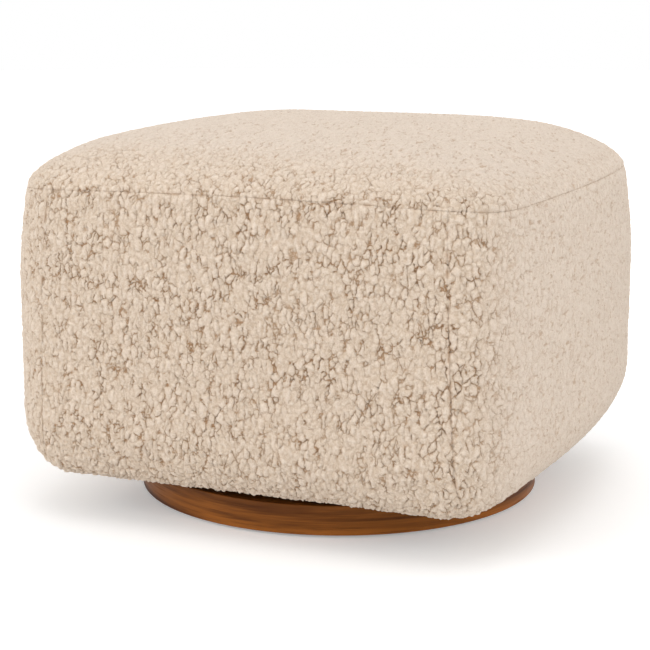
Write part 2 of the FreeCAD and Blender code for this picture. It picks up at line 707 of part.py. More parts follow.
def make_bottom_end_board(name, end):
    """Front or back board of the underside, notched round the corner posts."""
    body = new_body(name)
    outline = polygon_sketch(body, f"{name}_outline", "XY_Plane", [
        ("-Places.inner_x", f"{end} * Places.opening_y"),
        ("Places.inner_x", f"{end} * Places.opening_y"),
        ("Places.inner_x", f"{end} * Places.post_y"),
        ("Places.post_x", f"{end} * Places.post_y"),
        ("Places.post_x", f"{end} * Places.inner_y"),
        ("-Places.post_x", f"{end} * Places.inner_y"),
        ("-Places.post_x", f"{end} * Places.post_y"),
        ("-Places.inner_x", f"{end} * Places.post_y"),
    ], "Places.frame_bottom")
    pad(body, outline, "Sizes.bottom_board_thickness")
    return body


def make_bottom_side_board(name, side):
    start, length = across(side, "Places.opening_x", "Places.inner_x")
    low = (start, "-Places.opening_y", "Places.frame_bottom")
    high = (f"{start} + {length}", "Places.opening_y",
            "Places.frame_bottom + Sizes.bottom_board_thickness")
    return box(name, low, high)


def make_top_deck():
    body = new_body("top_deck")
    outline = rectangle_sketch(body, "deck_outline", "XY_Plane", "Places.frame_x", "Places.frame_y",
                               "Places.boards_top")
    deck = pad(body, outline, "Sizes.deck_thickness")
    up = FreeCAD.Vector(0, 0, 1)
    round_edges(body, deck, "deck_rounding", lambda e: runs_along(e, up), "Sizes.post_radius")
    return body


def make_dust_cover():
    """Black cloth under the boards, inside the cover's flap and open at the mechanism."""
    body = new_body("dust_cover")
    level = "Places.frame_bottom - Sizes.dust_cover_thickness"
    outline = rectangle_sketch(body, "dust_cover_outline", "XY_Plane",
                               "Places.flap_x - Sizes.soft_clearance",
                               "Places.flap_y - Sizes.soft_clearance", level)
    pad(body, outline, "Sizes.dust_cover_thickness")
    pocket(body, rectangle_sketch(body, "dust_cover_opening", "XY_Plane", "Places.opening_x",
                                  "Places.opening_y"))
    return body


# Upholstery: free-form solids between nested outer forms, read from the same sheets

def outline_wire(half_width, half_depth, corner, bow, level):
    """Flat front and back, bowed sides and round corners, tangent where they meet."""
    reach = half_depth - corner
    tilt = 2 * math.atan(bow / reach)
    arm = reach / math.sin(tilt)
    corner_x = half_width - corner - arm * (1 - math.cos(tilt))
    side_middle = half_width - corner - arm
    tip = FreeCAD.Vector(math.cos(tilt), math.sin(tilt), 0)
    diagonal = FreeCAD.Vector(math.cos((tilt + math.pi / 2) / 2), math.sin((tilt + math.pi / 2) / 2), 0)

    def at(x, y, sign_x, sign_y):
        return FreeCAD.Vector(sign_x * x, sign_y * y, level)

    side_x = side_middle + (arm + corner) * tip.x
    side_y = (arm + corner) * tip.y
    turn_x = corner_x + corner * diagonal.x
    turn_y = reach + corner * diagonal.y
    edges = []
    for sign in (1, -1):
        edges.append(Part.Arc(at(side_x, side_y, sign, -sign), at(half_width, 0, sign, 1),
                              at(side_x, side_y, sign, sign)).toShape())
        edges.append(Part.Arc(at(side_x, side_y, sign, sign), at(turn_x, turn_y, sign, sign),
                              at(corner_x, half_depth, sign, sign)).toShape())
        edges.append(Part.LineSegment(at(corner_x, half_depth, sign, sign),
                                      at(corner_x, half_depth, -sign, sign)).toShape())
        edges.append(Part.Arc(at(corner_x, half_depth, -sign, sign), at(turn_x, turn_y, -sign, sign),
                              at(side_x, side_y, -sign, sign)).toShape())
    return Part.Wire(edges)


def side_sections(inset):
    """Outlines from the underside up to the top seam, inset all round."""
    half_width = known("half_width") - inset
    half_depth = known("half_depth") - inset
    corner = known("corner_radius") - inset
    low_corner = known("bottom_corner_radius") - inset
    curl_x = known("curl_x") - inset
    curl_y = known("curl_y") - inset
    curl_height = known("curl_height") - inset
    bottom = known("underside_height") + inset
    bow = known("side_bow")
    flatter = bow - known("bottom_bow")
    wires = []
    for degrees in (0, 18, 36, 54, 72, 90):
        rise = math.radians(degrees)
        away = 1 - math.sin(rise)
        wires.append(outline_wire(half_width - (curl_x + flatter) * away, half_depth - curl_y * away,
                                  low_corner + (corner - low_corner) * (1 - away),
                                  bow - flatter * away, bottom + curl_height * (1 - math.cos(rise))))
    straight = bottom + curl_height
    seam = known("top_seam_height")
    for share in (0.17, 0.34, 0.5, 0.67, 0.84, 1.0):
        lean = known("top_seam_inset") * max(2 * share - 1, 0) ** 2
        wires.append(outline_wire(half_width - lean, half_depth - lean, corner, bow,
                                  straight + (seam - straight) * share))
    return wires


def crown_sections(inset):
    """Outlines from the top seam up to the small flat at the top of the crown."""
    lean = known("top_seam_inset") + inset
    half_width = known("half_width") - lean
    half_depth = known("half_depth") - lean
    corner = known("corner_radius") - inset
    seam = known("top_seam_height")
    rise = known("overall_height") - inset - seam
    edge_share = known("crown_edge_share")
    power = known("crown_power")
    roundness = 1 / 1.8
    last = 0.04
    full = edge_share * (1 - last ** power) ** roundness + (1 - edge_share) * (1 - last ** 2)
    wires = []
    for reach in (1.0, 0.99, 0.965, 0.92, 0.84, 0.7, 0.5, 0.25, last):
        shape = edge_share * (1 - reach ** power) ** roundness + (1 - edge_share) * (1 - reach ** 2)
        wires.append(outline_wire(half_width * reach, half_depth * reach, corner * reach,
                                  known("side_bow") * reach, seam + rise * shape / full))
    return wires


def lofted(wires):
    return Part.makeLoft(wires, True, False)


def block(x_low, x_high, y_low, y_high, z_low, z_high):
    corner = FreeCAD.Vector(x_low, y_low, z_low)
    return Part.makeBox(x_high - x_low, y_high - y_low, z_high - z_low, corner)


def panel_blocks(z_low, z_high):
    """The space of each side panel: front and back between the upright seams, sides round them."""
    seam = known("panel_seam_offset")
    split = known("flap_y")
    far = known("body_width")
    front = block(-seam, seam, -far, -split, z_low, z_high)
    back = block(-seam, seam, split, far, z_low, z_high)
    left = block(-far, 0, -far, far, z_low, z_high)
    right = block(0, far, -far, far, z_low, z_high)
    return {
        "front": front,
        "back": back,
        "left": left.cut(front).cut(back),
        "right": right.cut(front).cut(back),
    }


def free_form(name, shape):
    solids = shape.removeSplitter().Solids
    if len(solids) != 1:
        raise ValueError(f"{name} is {len(solids)} solids")
    piece = doc.addObject("Part::Feature", name)
    piece.Shape = solids[0]
    piece.Placement = FreeCAD.Placement()
    return piece


def make_upholstery():
    cover = known("cover_thickness")
    soft = known("soft_clearance")
    seam = known("top_seam_height")
    frame_bottom = known("frame_bottom")
    deck_top = known("deck_top") + soft
    frame_x = known("frame_x") + soft
    frame_y = known("frame_y") + soft
    pieces = []

    inner_sides = lofted(side_sections(cover))
    skin = lofted(side_sections(0)).cut(inner_sides)
    flap_hole = block(-known("flap_x"), known("flap_x"), -known("flap_y"), known("flap_y"), 0, frame_bottom)
    skin = skin.cut(flap_hole)
    for side, space in panel_blocks(0, seam).items():
        pieces.append(free_form(f"{side}_cover", skin.common(space)))
    top_skin = lofted(crown_sections(0)).cut(lofted(crown_sections(cover)))
    pieces.append(free_form("top_cover", top_skin))

    padding = lofted(side_sections(cover + soft))
    crown = lofted(crown_sections(cover + soft))
    frame_space = block(-frame_x, frame_x, -frame_y, frame_y, 0, seam)
    uprights = [edge for edge in frame_space.Edges if runs_along(edge, FreeCAD.Vector(0, 0, 1))]
    frame_space = frame_space.makeFillet(known("post_radius") + soft, uprights)
    walls = padding.cut(frame_space)
    for side, space in panel_blocks(0, deck_top - soft).items():
        pieces.append(free_form(f"{side}_foam", walls.common(space)))
    far = known("body_width")
    above_deck = block(-far, far, -far, far, deck_top, known("overall_height"))
    pieces.append(free_form("top_foam", padding.fuse(crown).common(above_deck)))
    return pieces


# Assembly: every sub-part is named here once, in the order of the build

nodes = [
    make_floor_glides(),
    make_lower_disc(),
    make_upper_disc(),
    make_edge_band(),
    make_mechanism_plate(),
    make_plate_bolts(),
    make_tee_nuts(),
    make_tower_ties(),
    make_rail_screws(),
    make_corner_posts(),
    make_top_deck(),
    make_dust_cover(),
]
nodes.extend(make_bumpers())
nodes.extend(make_pivots(
    "upper", "Sizes.upper_pivot_height",
    head_near="Places.tower_inner_x - Sizes.pivot_head_height", head_far="Places.tower_inner_x",
    spacer_near="Places.tower_x", spacer_far="Places.race_x",
    nut_near="Places.race_outer_x", nut_far="Places.race_outer_x + Sizes.pivot_nut_height",
    shank_near="Places.tower_inner_x",
    shank_far="Places.race_outer_x + Sizes.pivot_nut_height + Sizes.bolt_overrun"))
nodes.extend(make_pivots(
    "lower", "Places.lower_pivot_height",
    head_near="Places.rail_outer_x", head_far="Places.rail_outer_x + Sizes.pivot_head_height",
    spacer_near="Places.race_outer_x", spacer_far="Places.rail_x",
    nut_near="Places.race_x - Sizes.pivot_nut_height", nut_far="Places.race_x",
    shank_near="Places.race_x - Sizes.pivot_nut_height - Sizes.bolt_overrun",
    shank_far="Places.rail_outer_x"))
for side_name, side in SIDES.items():
    nodes.append(make_tower(f"{side_name}_tower", side))
    nodes.append(make_seat_rail(f"{side_name}_seat_rail", side))
    nodes.append(make_upright_board(f"{side_name}_board", "x", side))
    nodes.append(make_bottom_side_board(f"{side_name}_bottom_board", side))
    for end_name, end in ENDS.items():
        nodes.extend(make_link(f"{end_name}_{side_name}_link", side, end))
for end_name, end in ENDS.items():
    nodes.append(make_cross_rail(f"{end_name}_cross_rail", end))
    nodes.append(make_upright_board(f"{end_name}_board", "y", end))
    nodes.append(make_bottom_end_board(f"{end_name}_bottom_board", end))
nodes.extend(make_upholstery())
doc.recompute()

for thing in doc.Objects:
    if "Invalid" in thing.State or "Error" in thing.State:
        raise RuntimeError(f"{thing.Name} did not build: {thing.State}")
for node in nodes:
    if node.Shape.isNull() or not node.Shape.isValid():
        raise RuntimeError(f"{node.Label} has no valid shape")

os.makedirs("parts", exist_ok=True)
for node in nodes:
    node.Shape.exportStep(f"parts/{node.Label}.step")
print(f"{len(nodes)} sub-parts, {sum(len(node.Shape.Solids) for node in nodes)} solids")
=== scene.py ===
import json
import math

import bpy
import numpy as np
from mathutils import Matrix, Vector

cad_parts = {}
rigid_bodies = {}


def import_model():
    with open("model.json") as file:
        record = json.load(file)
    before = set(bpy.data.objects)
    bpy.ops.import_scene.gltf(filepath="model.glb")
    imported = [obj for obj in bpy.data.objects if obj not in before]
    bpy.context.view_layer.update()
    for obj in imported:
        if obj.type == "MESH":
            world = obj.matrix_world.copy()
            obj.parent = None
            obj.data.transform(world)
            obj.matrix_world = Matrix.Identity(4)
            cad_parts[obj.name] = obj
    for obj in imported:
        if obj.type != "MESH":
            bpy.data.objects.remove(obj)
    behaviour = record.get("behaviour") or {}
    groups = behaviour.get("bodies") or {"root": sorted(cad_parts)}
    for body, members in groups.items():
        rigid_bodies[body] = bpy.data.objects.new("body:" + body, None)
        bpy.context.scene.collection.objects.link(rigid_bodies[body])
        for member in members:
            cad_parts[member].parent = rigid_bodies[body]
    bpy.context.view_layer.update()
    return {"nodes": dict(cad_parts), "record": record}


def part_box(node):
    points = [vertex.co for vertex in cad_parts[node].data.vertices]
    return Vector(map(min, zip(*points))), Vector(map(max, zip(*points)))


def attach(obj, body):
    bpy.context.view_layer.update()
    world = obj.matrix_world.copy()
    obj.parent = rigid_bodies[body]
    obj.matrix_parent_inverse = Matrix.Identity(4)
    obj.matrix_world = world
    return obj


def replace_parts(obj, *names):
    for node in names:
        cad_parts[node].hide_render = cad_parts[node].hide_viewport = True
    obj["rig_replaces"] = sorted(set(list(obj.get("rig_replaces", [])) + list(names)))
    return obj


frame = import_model()
nodes = frame["nodes"]
scene = bpy.context.scene

# Helpers for node trees, geometry and shader alike


def addNode(tree, kind, inputs=None, **settings):
    made = tree.nodes.new(kind)
    for key, value in settings.items():
        setattr(made, key, value)
    for key, value in (inputs or {}).items():
        feed(tree, value, made.inputs[key])
    return made


def feed(tree, value, socket):
    if isinstance(value, bpy.types.NodeSocket):
        tree.links.new(value, socket)
    else:
        socket.default_value = value


def calc(tree, operation, *values, clamp=False):
    made = tree.nodes.new("ShaderNodeMath")
    made.operation = operation
    made.use_clamp = clamp
    for socket, value in zip(made.inputs, values):
        feed(tree, value, socket)
    return made.outputs[0]


def vectorCalc(tree, operation, *values, scale=None):
    made = tree.nodes.new("ShaderNodeVectorMath")
    made.operation = operation
    for socket, value in zip(made.inputs, values):
        feed(tree, value, socket)
    if scale is not None:
        feed(tree, scale, made.inputs["Scale"])
    return made.outputs["Vector"]


def remap(tree, value, low, high, toLow=0.0, toHigh=1.0, smooth=True):
    made = addNode(tree, "ShaderNodeMapRange", {
        "Value": value, "From Min": low, "From Max": high, "To Min": toLow, "To Max": toHigh},
        interpolation_type="SMOOTHSTEP" if smooth else "LINEAR")
    return made.outputs["Result"]


def mixColors(tree, factor, first, second, blend="MIX"):
    made = addNode(tree, "ShaderNodeMix", data_type="RGBA", blend_type=blend)
    feed(tree, factor, made.inputs["Factor"])
    feed(tree, first, made.inputs[6])
    feed(tree, second, made.inputs[7])
    return made.outputs[2]


def newMaterial(name, roughness, metallic=0.0, **shaderSettings):
    material = bpy.data.materials.new(name)
    material.use_nodes = True
    tree = material.node_tree
    shader = tree.nodes["Principled BSDF"]
    shader.inputs["Roughness"].default_value = roughness
    shader.inputs["Metallic"].default_value = metallic
    for key, value in shaderSettings.items():
        shader.inputs[key.replace("_", " ")].default_value = value
    return material, tree, shader


def bumpInto(tree, shader, height, distance, strength=1.0, normal=None):
    inputs = {"Height": height, "Distance": distance, "Strength": strength}
    if normal is not None:
        inputs["Normal"] = normal
    bump = addNode(tree, "ShaderNodeBump", inputs)
    tree.links.new(bump.outputs["Normal"], shader.inputs["Normal"])
    return bump.outputs["Normal"]


# Camera, light and floor

photoView = {
    "azimuth": 22.76,  # degrees round the object, from the front towards its right
    "elevation": 11.43,  # degrees above the horizon
    "distance": 2.050,  # metres from the point aimed at
    "aimSide": -0.0168,  # that point, sideways in the view
    "aimHeight": 0.1856,  # and above the floor
    "focalPixels": 1742,  # focal length in pixels of the photograph
    "framePixels": 650,
    "sensor": 36,  # millimetres
}


def makeCamera(view):
    azimuth = math.radians(view["azimuth"])
    elevation = math.radians(view["elevation"])
    back = Vector((math.sin(azimuth) * math.cos(elevation), -math.cos(azimuth) * math.cos(elevation),
                   math.sin(elevation)))
    sideways = Vector((math.cos(azimuth), math.sin(azimuth), 0))
    camera = bpy.data.objects.new("photoCamera", bpy.data.cameras.new("photoCamera"))
    camera.data.sensor_width = view["sensor"]
    camera.data.lens = view["sensor"] * view["focalPixels"] / view["framePixels"]
    aim = sideways * view["aimSide"] + Vector((0, 0, view["aimHeight"]))
    camera.location = aim + back * view["distance"]
    camera.rotation_mode = "QUATERNION"
    camera.rotation_quaternion = (-back).to_track_quat("-Z", "Y")
    scene.collection.objects.link(camera)
    scene.camera = camera


lamps = {
    "overhead": {"at": (0.3, -0.3, 2.6), "size": 2.4, "power": 18.5},
    "frontLeft": {"at": (-2.2, -2.4, 1.3), "size": 2.0, "power": 37},
    "right": {"at": (2.8, -0.9, 1.1), "size": 1.8, "power": 21},
    "behind": {"at": (-0.6, 2.6, 1.5), "size": 2.0, "power": 14},
}


def makeLamps():
    target = Vector((0, 0, 0.2))  # half-way up the object
    for name, lamp in lamps.items():
        light = bpy.data.lights.new(name, "AREA")
        light.shape = "DISK"
        light.size = lamp["size"]
        light.energy = lamp["power"]
        holder = bpy.data.objects.new(name, light)
        holder.location = lamp["at"]
        holder.rotation_mode = "QUATERNION"
        holder.rotation_quaternion = (target - Vector(lamp["at"])).to_track_quat("-Z", "Y")
        scene.collection.objects.link(holder)


studio = {
    "ambient": 0.62,  # strength of the even light from all round
    "floorColor": (0.86, 0.86, 0.86, 1),
    "floorRadius": 9.0,
    "nearGlow": 0.28,  # how much the floor lifts towards white, for the camera alone
    "farGlow": 0.60,
    "glowStart": 0.35,  # distances from the middle of the floor between which the glow grows
    "glowEnd": 1.6,
}


def makeStudio():
    world = bpy.data.worlds.new("studio")
    world.use_nodes = True
    scene.world = world
    tree = world.node_tree
    path = addNode(tree, "ShaderNodeLightPath")
    seen = calc(tree, "MAXIMUM", path.outputs["Is Camera Ray"], path.outputs["Is Glossy Ray"])
    strength = remap(tree, seen, 0, 1, studio["ambient"], 1.0, smooth=False)
    tree.links.new(strength, tree.nodes["Background"].inputs["Strength"])
    tree.nodes["Background"].inputs["Color"].default_value = (1, 1, 1, 1)

    bpy.ops.mesh.primitive_circle_add(vertices=96, radius=studio["floorRadius"], fill_type="NGON")
    floor = bpy.context.object
    floor.name = "studioFloor"
    material, tree, shader = newMaterial("paleFloor", 0.9)
    shader.inputs["Base Color"].default_value = studio["floorColor"]
    path = addNode(tree, "ShaderNodeLightPath")
    seen = calc(tree, "MAXIMUM", path.outputs["Is Camera Ray"], path.outputs["Is Glossy Ray"])
    place = addNode(tree, "ShaderNodeTexCoord").outputs["Object"]
    away = addNode(tree, "ShaderNodeVectorMath", {0: place}, operation="LENGTH").outputs["Value"]
    glow = remap(tree, away, studio["glowStart"], studio["glowEnd"], studio["nearGlow"], studio["farGlow"])
    glow = calc(tree, "MULTIPLY", seen, glow)
    emission = addNode(tree, "ShaderNodeEmission", {"Color": (1, 1, 1, 1), "Strength": glow})
    both = addNode(tree, "ShaderNodeAddShader")
    tree.links.new(shader.outputs[0], both.inputs[0])
    tree.links.new(emission.outputs[0], both.inputs[1])
    # a camera below the floor looks through it
    below = addNode(tree, "ShaderNodeNewGeometry").outputs["Backfacing"]
    through = addNode(tree, "ShaderNodeMixShader", {
        "Fac": calc(tree, "MULTIPLY", below, path.outputs["Is Camera Ray"])})
    tree.links.new(both.outputs[0], through.inputs[1])
    tree.links.new(addNode(tree, "ShaderNodeBsdfTransparent").outputs[0], through.inputs[2])
    tree.links.new(through.outputs[0], tree.nodes["Material Output"].inputs["Surface"])
    floor.data.materials.append(material)


makeCamera(photoView)
makeLamps()
makeStudio()
scene.view_settings.view_transform = "Standard"
print("camera, lamps and floor are set")

# The upholstered form: the frame's sizes and the curves of the covers, in metres

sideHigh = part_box("right_cover")[1]
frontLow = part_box("front_cover")[0]
crownLow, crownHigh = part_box("top_cover")
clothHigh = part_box("dust_cover")[1]

bodyForm = {
    "width": sideHigh.x,  # middle to a bowed side
    "depth": -frontLow.y,  # middle to the front face
    "bottom": frontLow.z,  # lowest fabric
    "top": crownHigh.z,  # top of the crown
    "seamHeight": crownLow.z,  # seam round the top panel
    "seamDrop": 0.0031,  # how much lower that seam is at the corners
    "seamLift": 0.0062,  # how much it rises again at the middle of each side
    "flapX": clothHigh.x,  # inner edge of the flap under the body
    "flapY": clothHigh.y,
    "flapReach": 0.024,  # width of the flap
    "bow": 0.016,  # bulge of the left and right sides
    "bottomBow": 0.001,  # the same at their lowest line
    "corner": 0.092,  # upright corners
    "bottomCorner": 0.018,  # corners of the underside
    "lean": 0.0086,  # sides lean in at the top seam
    "curlX": 0.072,  # how far the sides curl in at the bottom
    "curlY": 0.034,
    "curlHeight": 0.070,
    "crownEdgeShare": 0.65,  # share of the crown that rises close to the seam
    "crownPower": 6,
    "crownRoundness": 1 / 1.8,
    "seamAlongTop": 0.2245,  # middle of the front to the upright seam, along the fabric
    "seamAlongLow": 0.2365,
    "sunk": 0.0022,  # backing of the pile lies this far inside the outline
    "thickness": 0.0095,  # backing and pile
}

meshing = {
    "step": 0.0018,  # spacing of the fine mesh
    "stride": 8,  # the inside of a cover and the cloth simulation use every eighth line
    "curlArc": 1.4,  # length of the curl round the lower edge, in curl heights
    "ringSamples": 4001,
}


def outlineParts(width, depth, corner, bow):
    # a straight front as far as cornerX, a corner that is turn long, and the arc of a side
    reach = depth - corner
    tilt = 2 * np.arctan(bow / reach)
    arm = reach / np.sin(tilt)
    cornerX = width - corner - arm * (1 - np.cos(tilt))
    turn = corner * (np.pi / 2 - tilt)
    return reach, tilt, arm, cornerX, turn


def outlinePoints(width, depth, corner, bow, along):
    # along: distance round the outline from the middle of the front, positive towards +X
    reach, tilt, arm, cornerX, turn = outlineParts(width, depth, corner, bow)
    quarter = cornerX + turn + (arm + corner) * tilt
    s = np.abs(along)
    beyond = s > quarter
    s = np.where(beyond, 2 * quarter - s, s)
    turned = -np.pi / 2 + (s - cornerX) / corner
    bowed = -tilt + (s - cornerX - turn) / (arm + corner)
    onFront = s <= cornerX
    onCorner = s <= cornerX + turn
    x = np.where(onFront, s, np.where(onCorner, cornerX + corner * np.cos(turned),
                                      width - corner - arm + (arm + corner) * np.cos(bowed)))
    y = np.where(onFront, -depth, np.where(onCorner, -reach + corner * np.sin(turned),
                                           (arm + corner) * np.sin(bowed)))
    return np.sign(along) * x, np.where(beyond, -y, y)


def outlineMarks(width, depth, corner, bow):
    # distances along the outline to the middle of a corner and of a side
    reach, tilt, arm, cornerX, turn = outlineParts(width, depth, corner, bow)
    return cornerX + turn / 2, cornerX + turn + (arm + corner) * tilt


def sideLift(x, y):
    # 1 at the middle of each side, 0 at the corners
    across = np.abs(x) / bodyForm["width"]
    paintedShadeColor = np.abs(y) / bodyForm["depth"]
    return 1 - (np.minimum(across, paintedShadeColor) / np.maximum(np.maximum(across, paintedShadeColor), 1e-6)) ** 2


def roundUp(length, step, stride):
    return int(math.ceil(length / step / stride)) * stride


def sideRows(inset):
    # one entry per row of a side panel, from the flap's edge up to the top seam
    form = bodyForm
    stride = meshing["stride"]
    flapCount = roundUp(form["flapReach"], meshing["step"], stride)
    curlCount = roundUp(form["curlHeight"] * meshing["curlArc"], meshing["step"], stride)
    wallCount = roundUp(form["seamHeight"] - form["bottom"] - form["curlHeight"], meshing["step"], stride)
    flap = np.concatenate([np.linspace(1, 0, flapCount + 1)[:-1], np.zeros(curlCount + wallCount + 1)])
    rise = np.concatenate([np.zeros(flapCount), np.linspace(0, np.pi / 2, curlCount + 1),
                           np.full(wallCount, np.pi / 2)])
    share = np.concatenate([np.zeros(flapCount + curlCount), np.linspace(0, 1, wallCount + 1)])
    away = 1 - np.sin(rise)
    flatter = form["bow"] - form["bottomBow"]
    bow = form["bow"] - flatter * away
    lean = form["lean"] * np.maximum(2 * share - 1, 0) ** 2
    width = form["width"] - inset - (form["curlX"] + flatter - inset) * away - lean
    depth = form["depth"] - inset - (form["curlY"] - inset) * away - lean
    corner = form["corner"] - inset - (form["corner"] - form["bottomCorner"]) * away
    curlTop = form["bottom"] + form["curlHeight"]
    level = form["bottom"] + inset + (form["curlHeight"] - inset) * (1 - np.cos(rise))
    seamAlong = form["seamAlongLow"] + (form["seamAlongTop"] - form["seamAlongLow"]) * share
    middle, quarter = outlineMarks(width, depth, corner, bow)
    seamAlong = seamAlong + (middle - seamAlong) * away
    return {"flap": flap, "share": share, "width": width, "depth": depth, "corner": corner, "bow": bow,
            "level": level, "curlTop": curlTop, "seamAlong": seamAlong, "quarter": quarter}


def sideGrid(panel, inset):
    # points of the front panel or of the right panel, one row per height
    form = bodyForm
    rows = sideRows(inset)
    column = {key: value[:, None] for key, value in rows.items() if key != "curlTop"}
    if panel == "front":
        count = roundUp(2 * form["seamAlongLow"], meshing["step"], meshing["stride"])
        fraction = np.linspace(-1, 1, count + 1)[None, :]
        along = column["seamAlong"] * fraction
        flapAlong = form["flapX"] * fraction
    else:
        widest = outlineMarks(form["width"], form["depth"], form["corner"], form["bow"])[1]
        count = roundUp(2 * (widest - form["seamAlongTop"]), meshing["step"], meshing["stride"])
        fraction = np.linspace(0, 1, count + 1)[None, :]
        start = column["seamAlong"]
        along = start + (2 * column["quarter"] - 2 * start) * fraction
        flapAlong = form["flapX"] + 2 * form["flapY"] * fraction
    x, y = outlinePoints(column["width"], column["depth"], column["corner"], column["bow"], along)
    flapX, flapY = rectanglePoints(form["flapX"], form["flapY"], flapAlong)
    x = x + (flapX - x) * column["flap"]
    y = y + (flapY - y) * column["flap"]
    seam = form["seamHeight"] - form["seamDrop"] + form["seamLift"] * sideLift(x, y)
    wall = rows["curlTop"] + (seam - rows["curlTop"]) * column["share"]
    z = np.where(column["share"] > 0, wall, column["level"])
    return np.stack([x, y, z], axis=2)


def rectanglePoints(halfX, halfY, along):
    # the flap's straight inner edge: front side first, then the right side
    x = np.clip(along, -halfX, halfX)
    y = -halfY + np.clip(np.abs(along) - halfX, 0, 2 * halfY)
    return x, y


def crownHeight(reach):
    form = bodyForm
    edge = (1 - reach ** form["crownPower"]) ** form["crownRoundness"]
    return form["crownEdgeShare"] * edge + (1 - form["crownEdgeShare"]) * (1 - reach ** 2)


def crownRings():
    # reach of each ring, spaced evenly along the curve of the crown
    form = bodyForm
    reach = np.linspace(0, 1, meshing["ringSamples"])
    half = (form["width"] + form["depth"]) / 2 - form["lean"]
    rise = (form["top"] - form["seamHeight"]) * crownHeight(reach)
    length = np.concatenate([[0], np.cumsum(np.hypot(np.diff(reach) * half, np.diff(rise)))])
    count = roundUp(length[-1], meshing["step"], meshing["stride"])
    return np.interp(np.linspace(0, length[-1], count + 1), length, reach)


def crownGrid(inset):
    # square rings that grow into the rounded outline of the top panel
    form = bodyForm
    rings = crownRings()
    count = len(rings) - 1
    index = np.arange(-count, count + 1)
    i, j = np.meshgrid(index, index, indexing="xy")
    ring = np.maximum(np.abs(i), np.abs(j))
    reach = rings[ring]
    width = form["width"] - form["lean"] - inset
    depth = form["depth"] - form["lean"] - inset
    corner = form["corner"] - inset
    middle, quarter = outlineMarks(width, depth, corner, form["bow"])
    safe = np.maximum(ring, 1)
    onSide = np.abs(i) > np.abs(j)
    sideAlong = quarter + (quarter - middle) * j / safe
    frontAlong = middle * np.abs(i) / safe
    x, y = outlinePoints(width, depth, corner, form["bow"], np.where(onSide, sideAlong, frontAlong))
    x = np.abs(x) * np.sign(i)
    y = np.where(onSide, y, np.abs(y) * np.where(j > 0, 1, -1))
    x = x * reach
    y = y * reach
    seam = form["seamHeight"] - form["seamDrop"] + form["seamLift"] * sideLift(x, y) * reach ** 6
    z = seam + (form["top"] - inset - seam) * crownHeight(reach)
    return np.stack([x, y, z], axis=2)


def gridQuads(index):
    return np.stack([index[:-1, :-1], index[:-1, 1:], index[1:, 1:], index[1:, :-1]], axis=2).reshape(-1, 4)


def gridNormals(grid):
    # the mean of the faces round each point
    faces = np.cross(grid[1:, 1:] - grid[:-1, :-1], grid[1:, :-1] - grid[:-1, 1:])
    faces = np.pad(faces, ((1, 1), (1, 1), (0, 0)), mode="edge")
    normal = faces[:-1, :-1] + faces[:-1, 1:] + faces[1:, :-1] + faces[1:, 1:]
    return normal / np.maximum(np.linalg.norm(normal, axis=2, keepdims=True), 1e-12)


def settledNormals(normals, distance):
    # next to the top seam both panels take the same direction, so that their pile meets
    level = normals.copy()
    level[..., 2] = seaming["upwards"] * np.hypot(normals[..., 0], normals[..., 1])
    share = 1 - ramp(distance, 0.0, seaming["settled"])[..., None]
    mixed = normals + (level - normals) * share
    return mixed / np.maximum(np.linalg.norm(mixed, axis=2, keepdims=True), 1e-12)


# Cloth simulation: each panel is blown up a little between its seams, on a coarse copy

pillowing = {
    "pressure": 4.0,
    "frames": 20,
    "cap": 0.0018,  # the furthest that a point may move, in metres
    "mass": 0.25,
    "tension": 12.0,
    "bending": 0.6,
}


def simulatePillow(name, coarse, held):
    rowCount, columnCount = coarse.shape[:2]
    index = np.arange(rowCount * columnCount).reshape(rowCount, columnCount)
    mesh = bpy.data.meshes.new(name)
    mesh.from_pydata(coarse.reshape(-1, 3).tolist(), [], gridQuads(index).tolist())
    cloth = bpy.data.objects.new(name, mesh)
    scene.collection.objects.link(cloth)
    group = cloth.vertex_groups.new(name="held")
    group.add([int(i) for i in index[held]], 1.0, "REPLACE")
    modifier = cloth.modifiers.new("pillow", "CLOTH")
    modifier.settings.vertex_group_mass = "held"
    modifier.settings.use_pressure = True
    modifier.settings.uniform_pressure_force = pillowing["pressure"]
    modifier.settings.effector_weights.gravity = 0
    modifier.settings.mass = pillowing["mass"]
    modifier.settings.tension_stiffness = pillowing["tension"]
    modifier.settings.compression_stiffness = pillowing["tension"]
    modifier.settings.bending_stiffness = pillowing["bending"]
    for frameNumber in range(1, pillowing["frames"] + 1):
        scene.frame_set(frameNumber)
    evaluated = cloth.evaluated_get(bpy.context.evaluated_depsgraph_get())
    places = np.zeros(rowCount * columnCount * 3)
    evaluated.data.vertices.foreach_get("co", places)
    moved = places.reshape(rowCount, columnCount, 3) - coarse
    bpy.data.objects.remove(cloth)
    scene.frame_set(1)
    length = np.linalg.norm(moved, axis=2, keepdims=True)
    print(f"{name}: moved up to {length.max() * 1000:.1f} mm")
    return moved * np.minimum(1, pillowing["cap"] / np.maximum(length, 1e-9))


def smoothWeights(fineCount, coarseCount):
    # rows of cubic spline weights that turn coarse values into fine ones
    at = np.linspace(0, coarseCount - 1, fineCount)[:, None] - np.arange(coarseCount)[None, :]
    t = np.abs(at)
    weight = np.where(t < 1, 2 / 3 - t ** 2 + t ** 3 / 2, np.where(t < 2, (2 - t) ** 3 / 6, 0))
    return weight / weight.sum(axis=1, keepdims=True)


def pillow(name, grid, heldRows):
    coarse = grid[::meshing["stride"], ::meshing["stride"]]
    held = np.zeros(coarse.shape[:2], bool)
    held[[0, -1], :] = True
    held[:, [0, -1]] = True
    held[:heldRows] = True
    moved = simulatePillow(name, coarse, held)
    down = smoothWeights(grid.shape[0], coarse.shape[0])
    over = smoothWeights(grid.shape[1], coarse.shape[1])
    return np.einsum("ri,ijk,cj->rck", down, moved, over)


# Seams: the fabric dips where two panels are sewn together

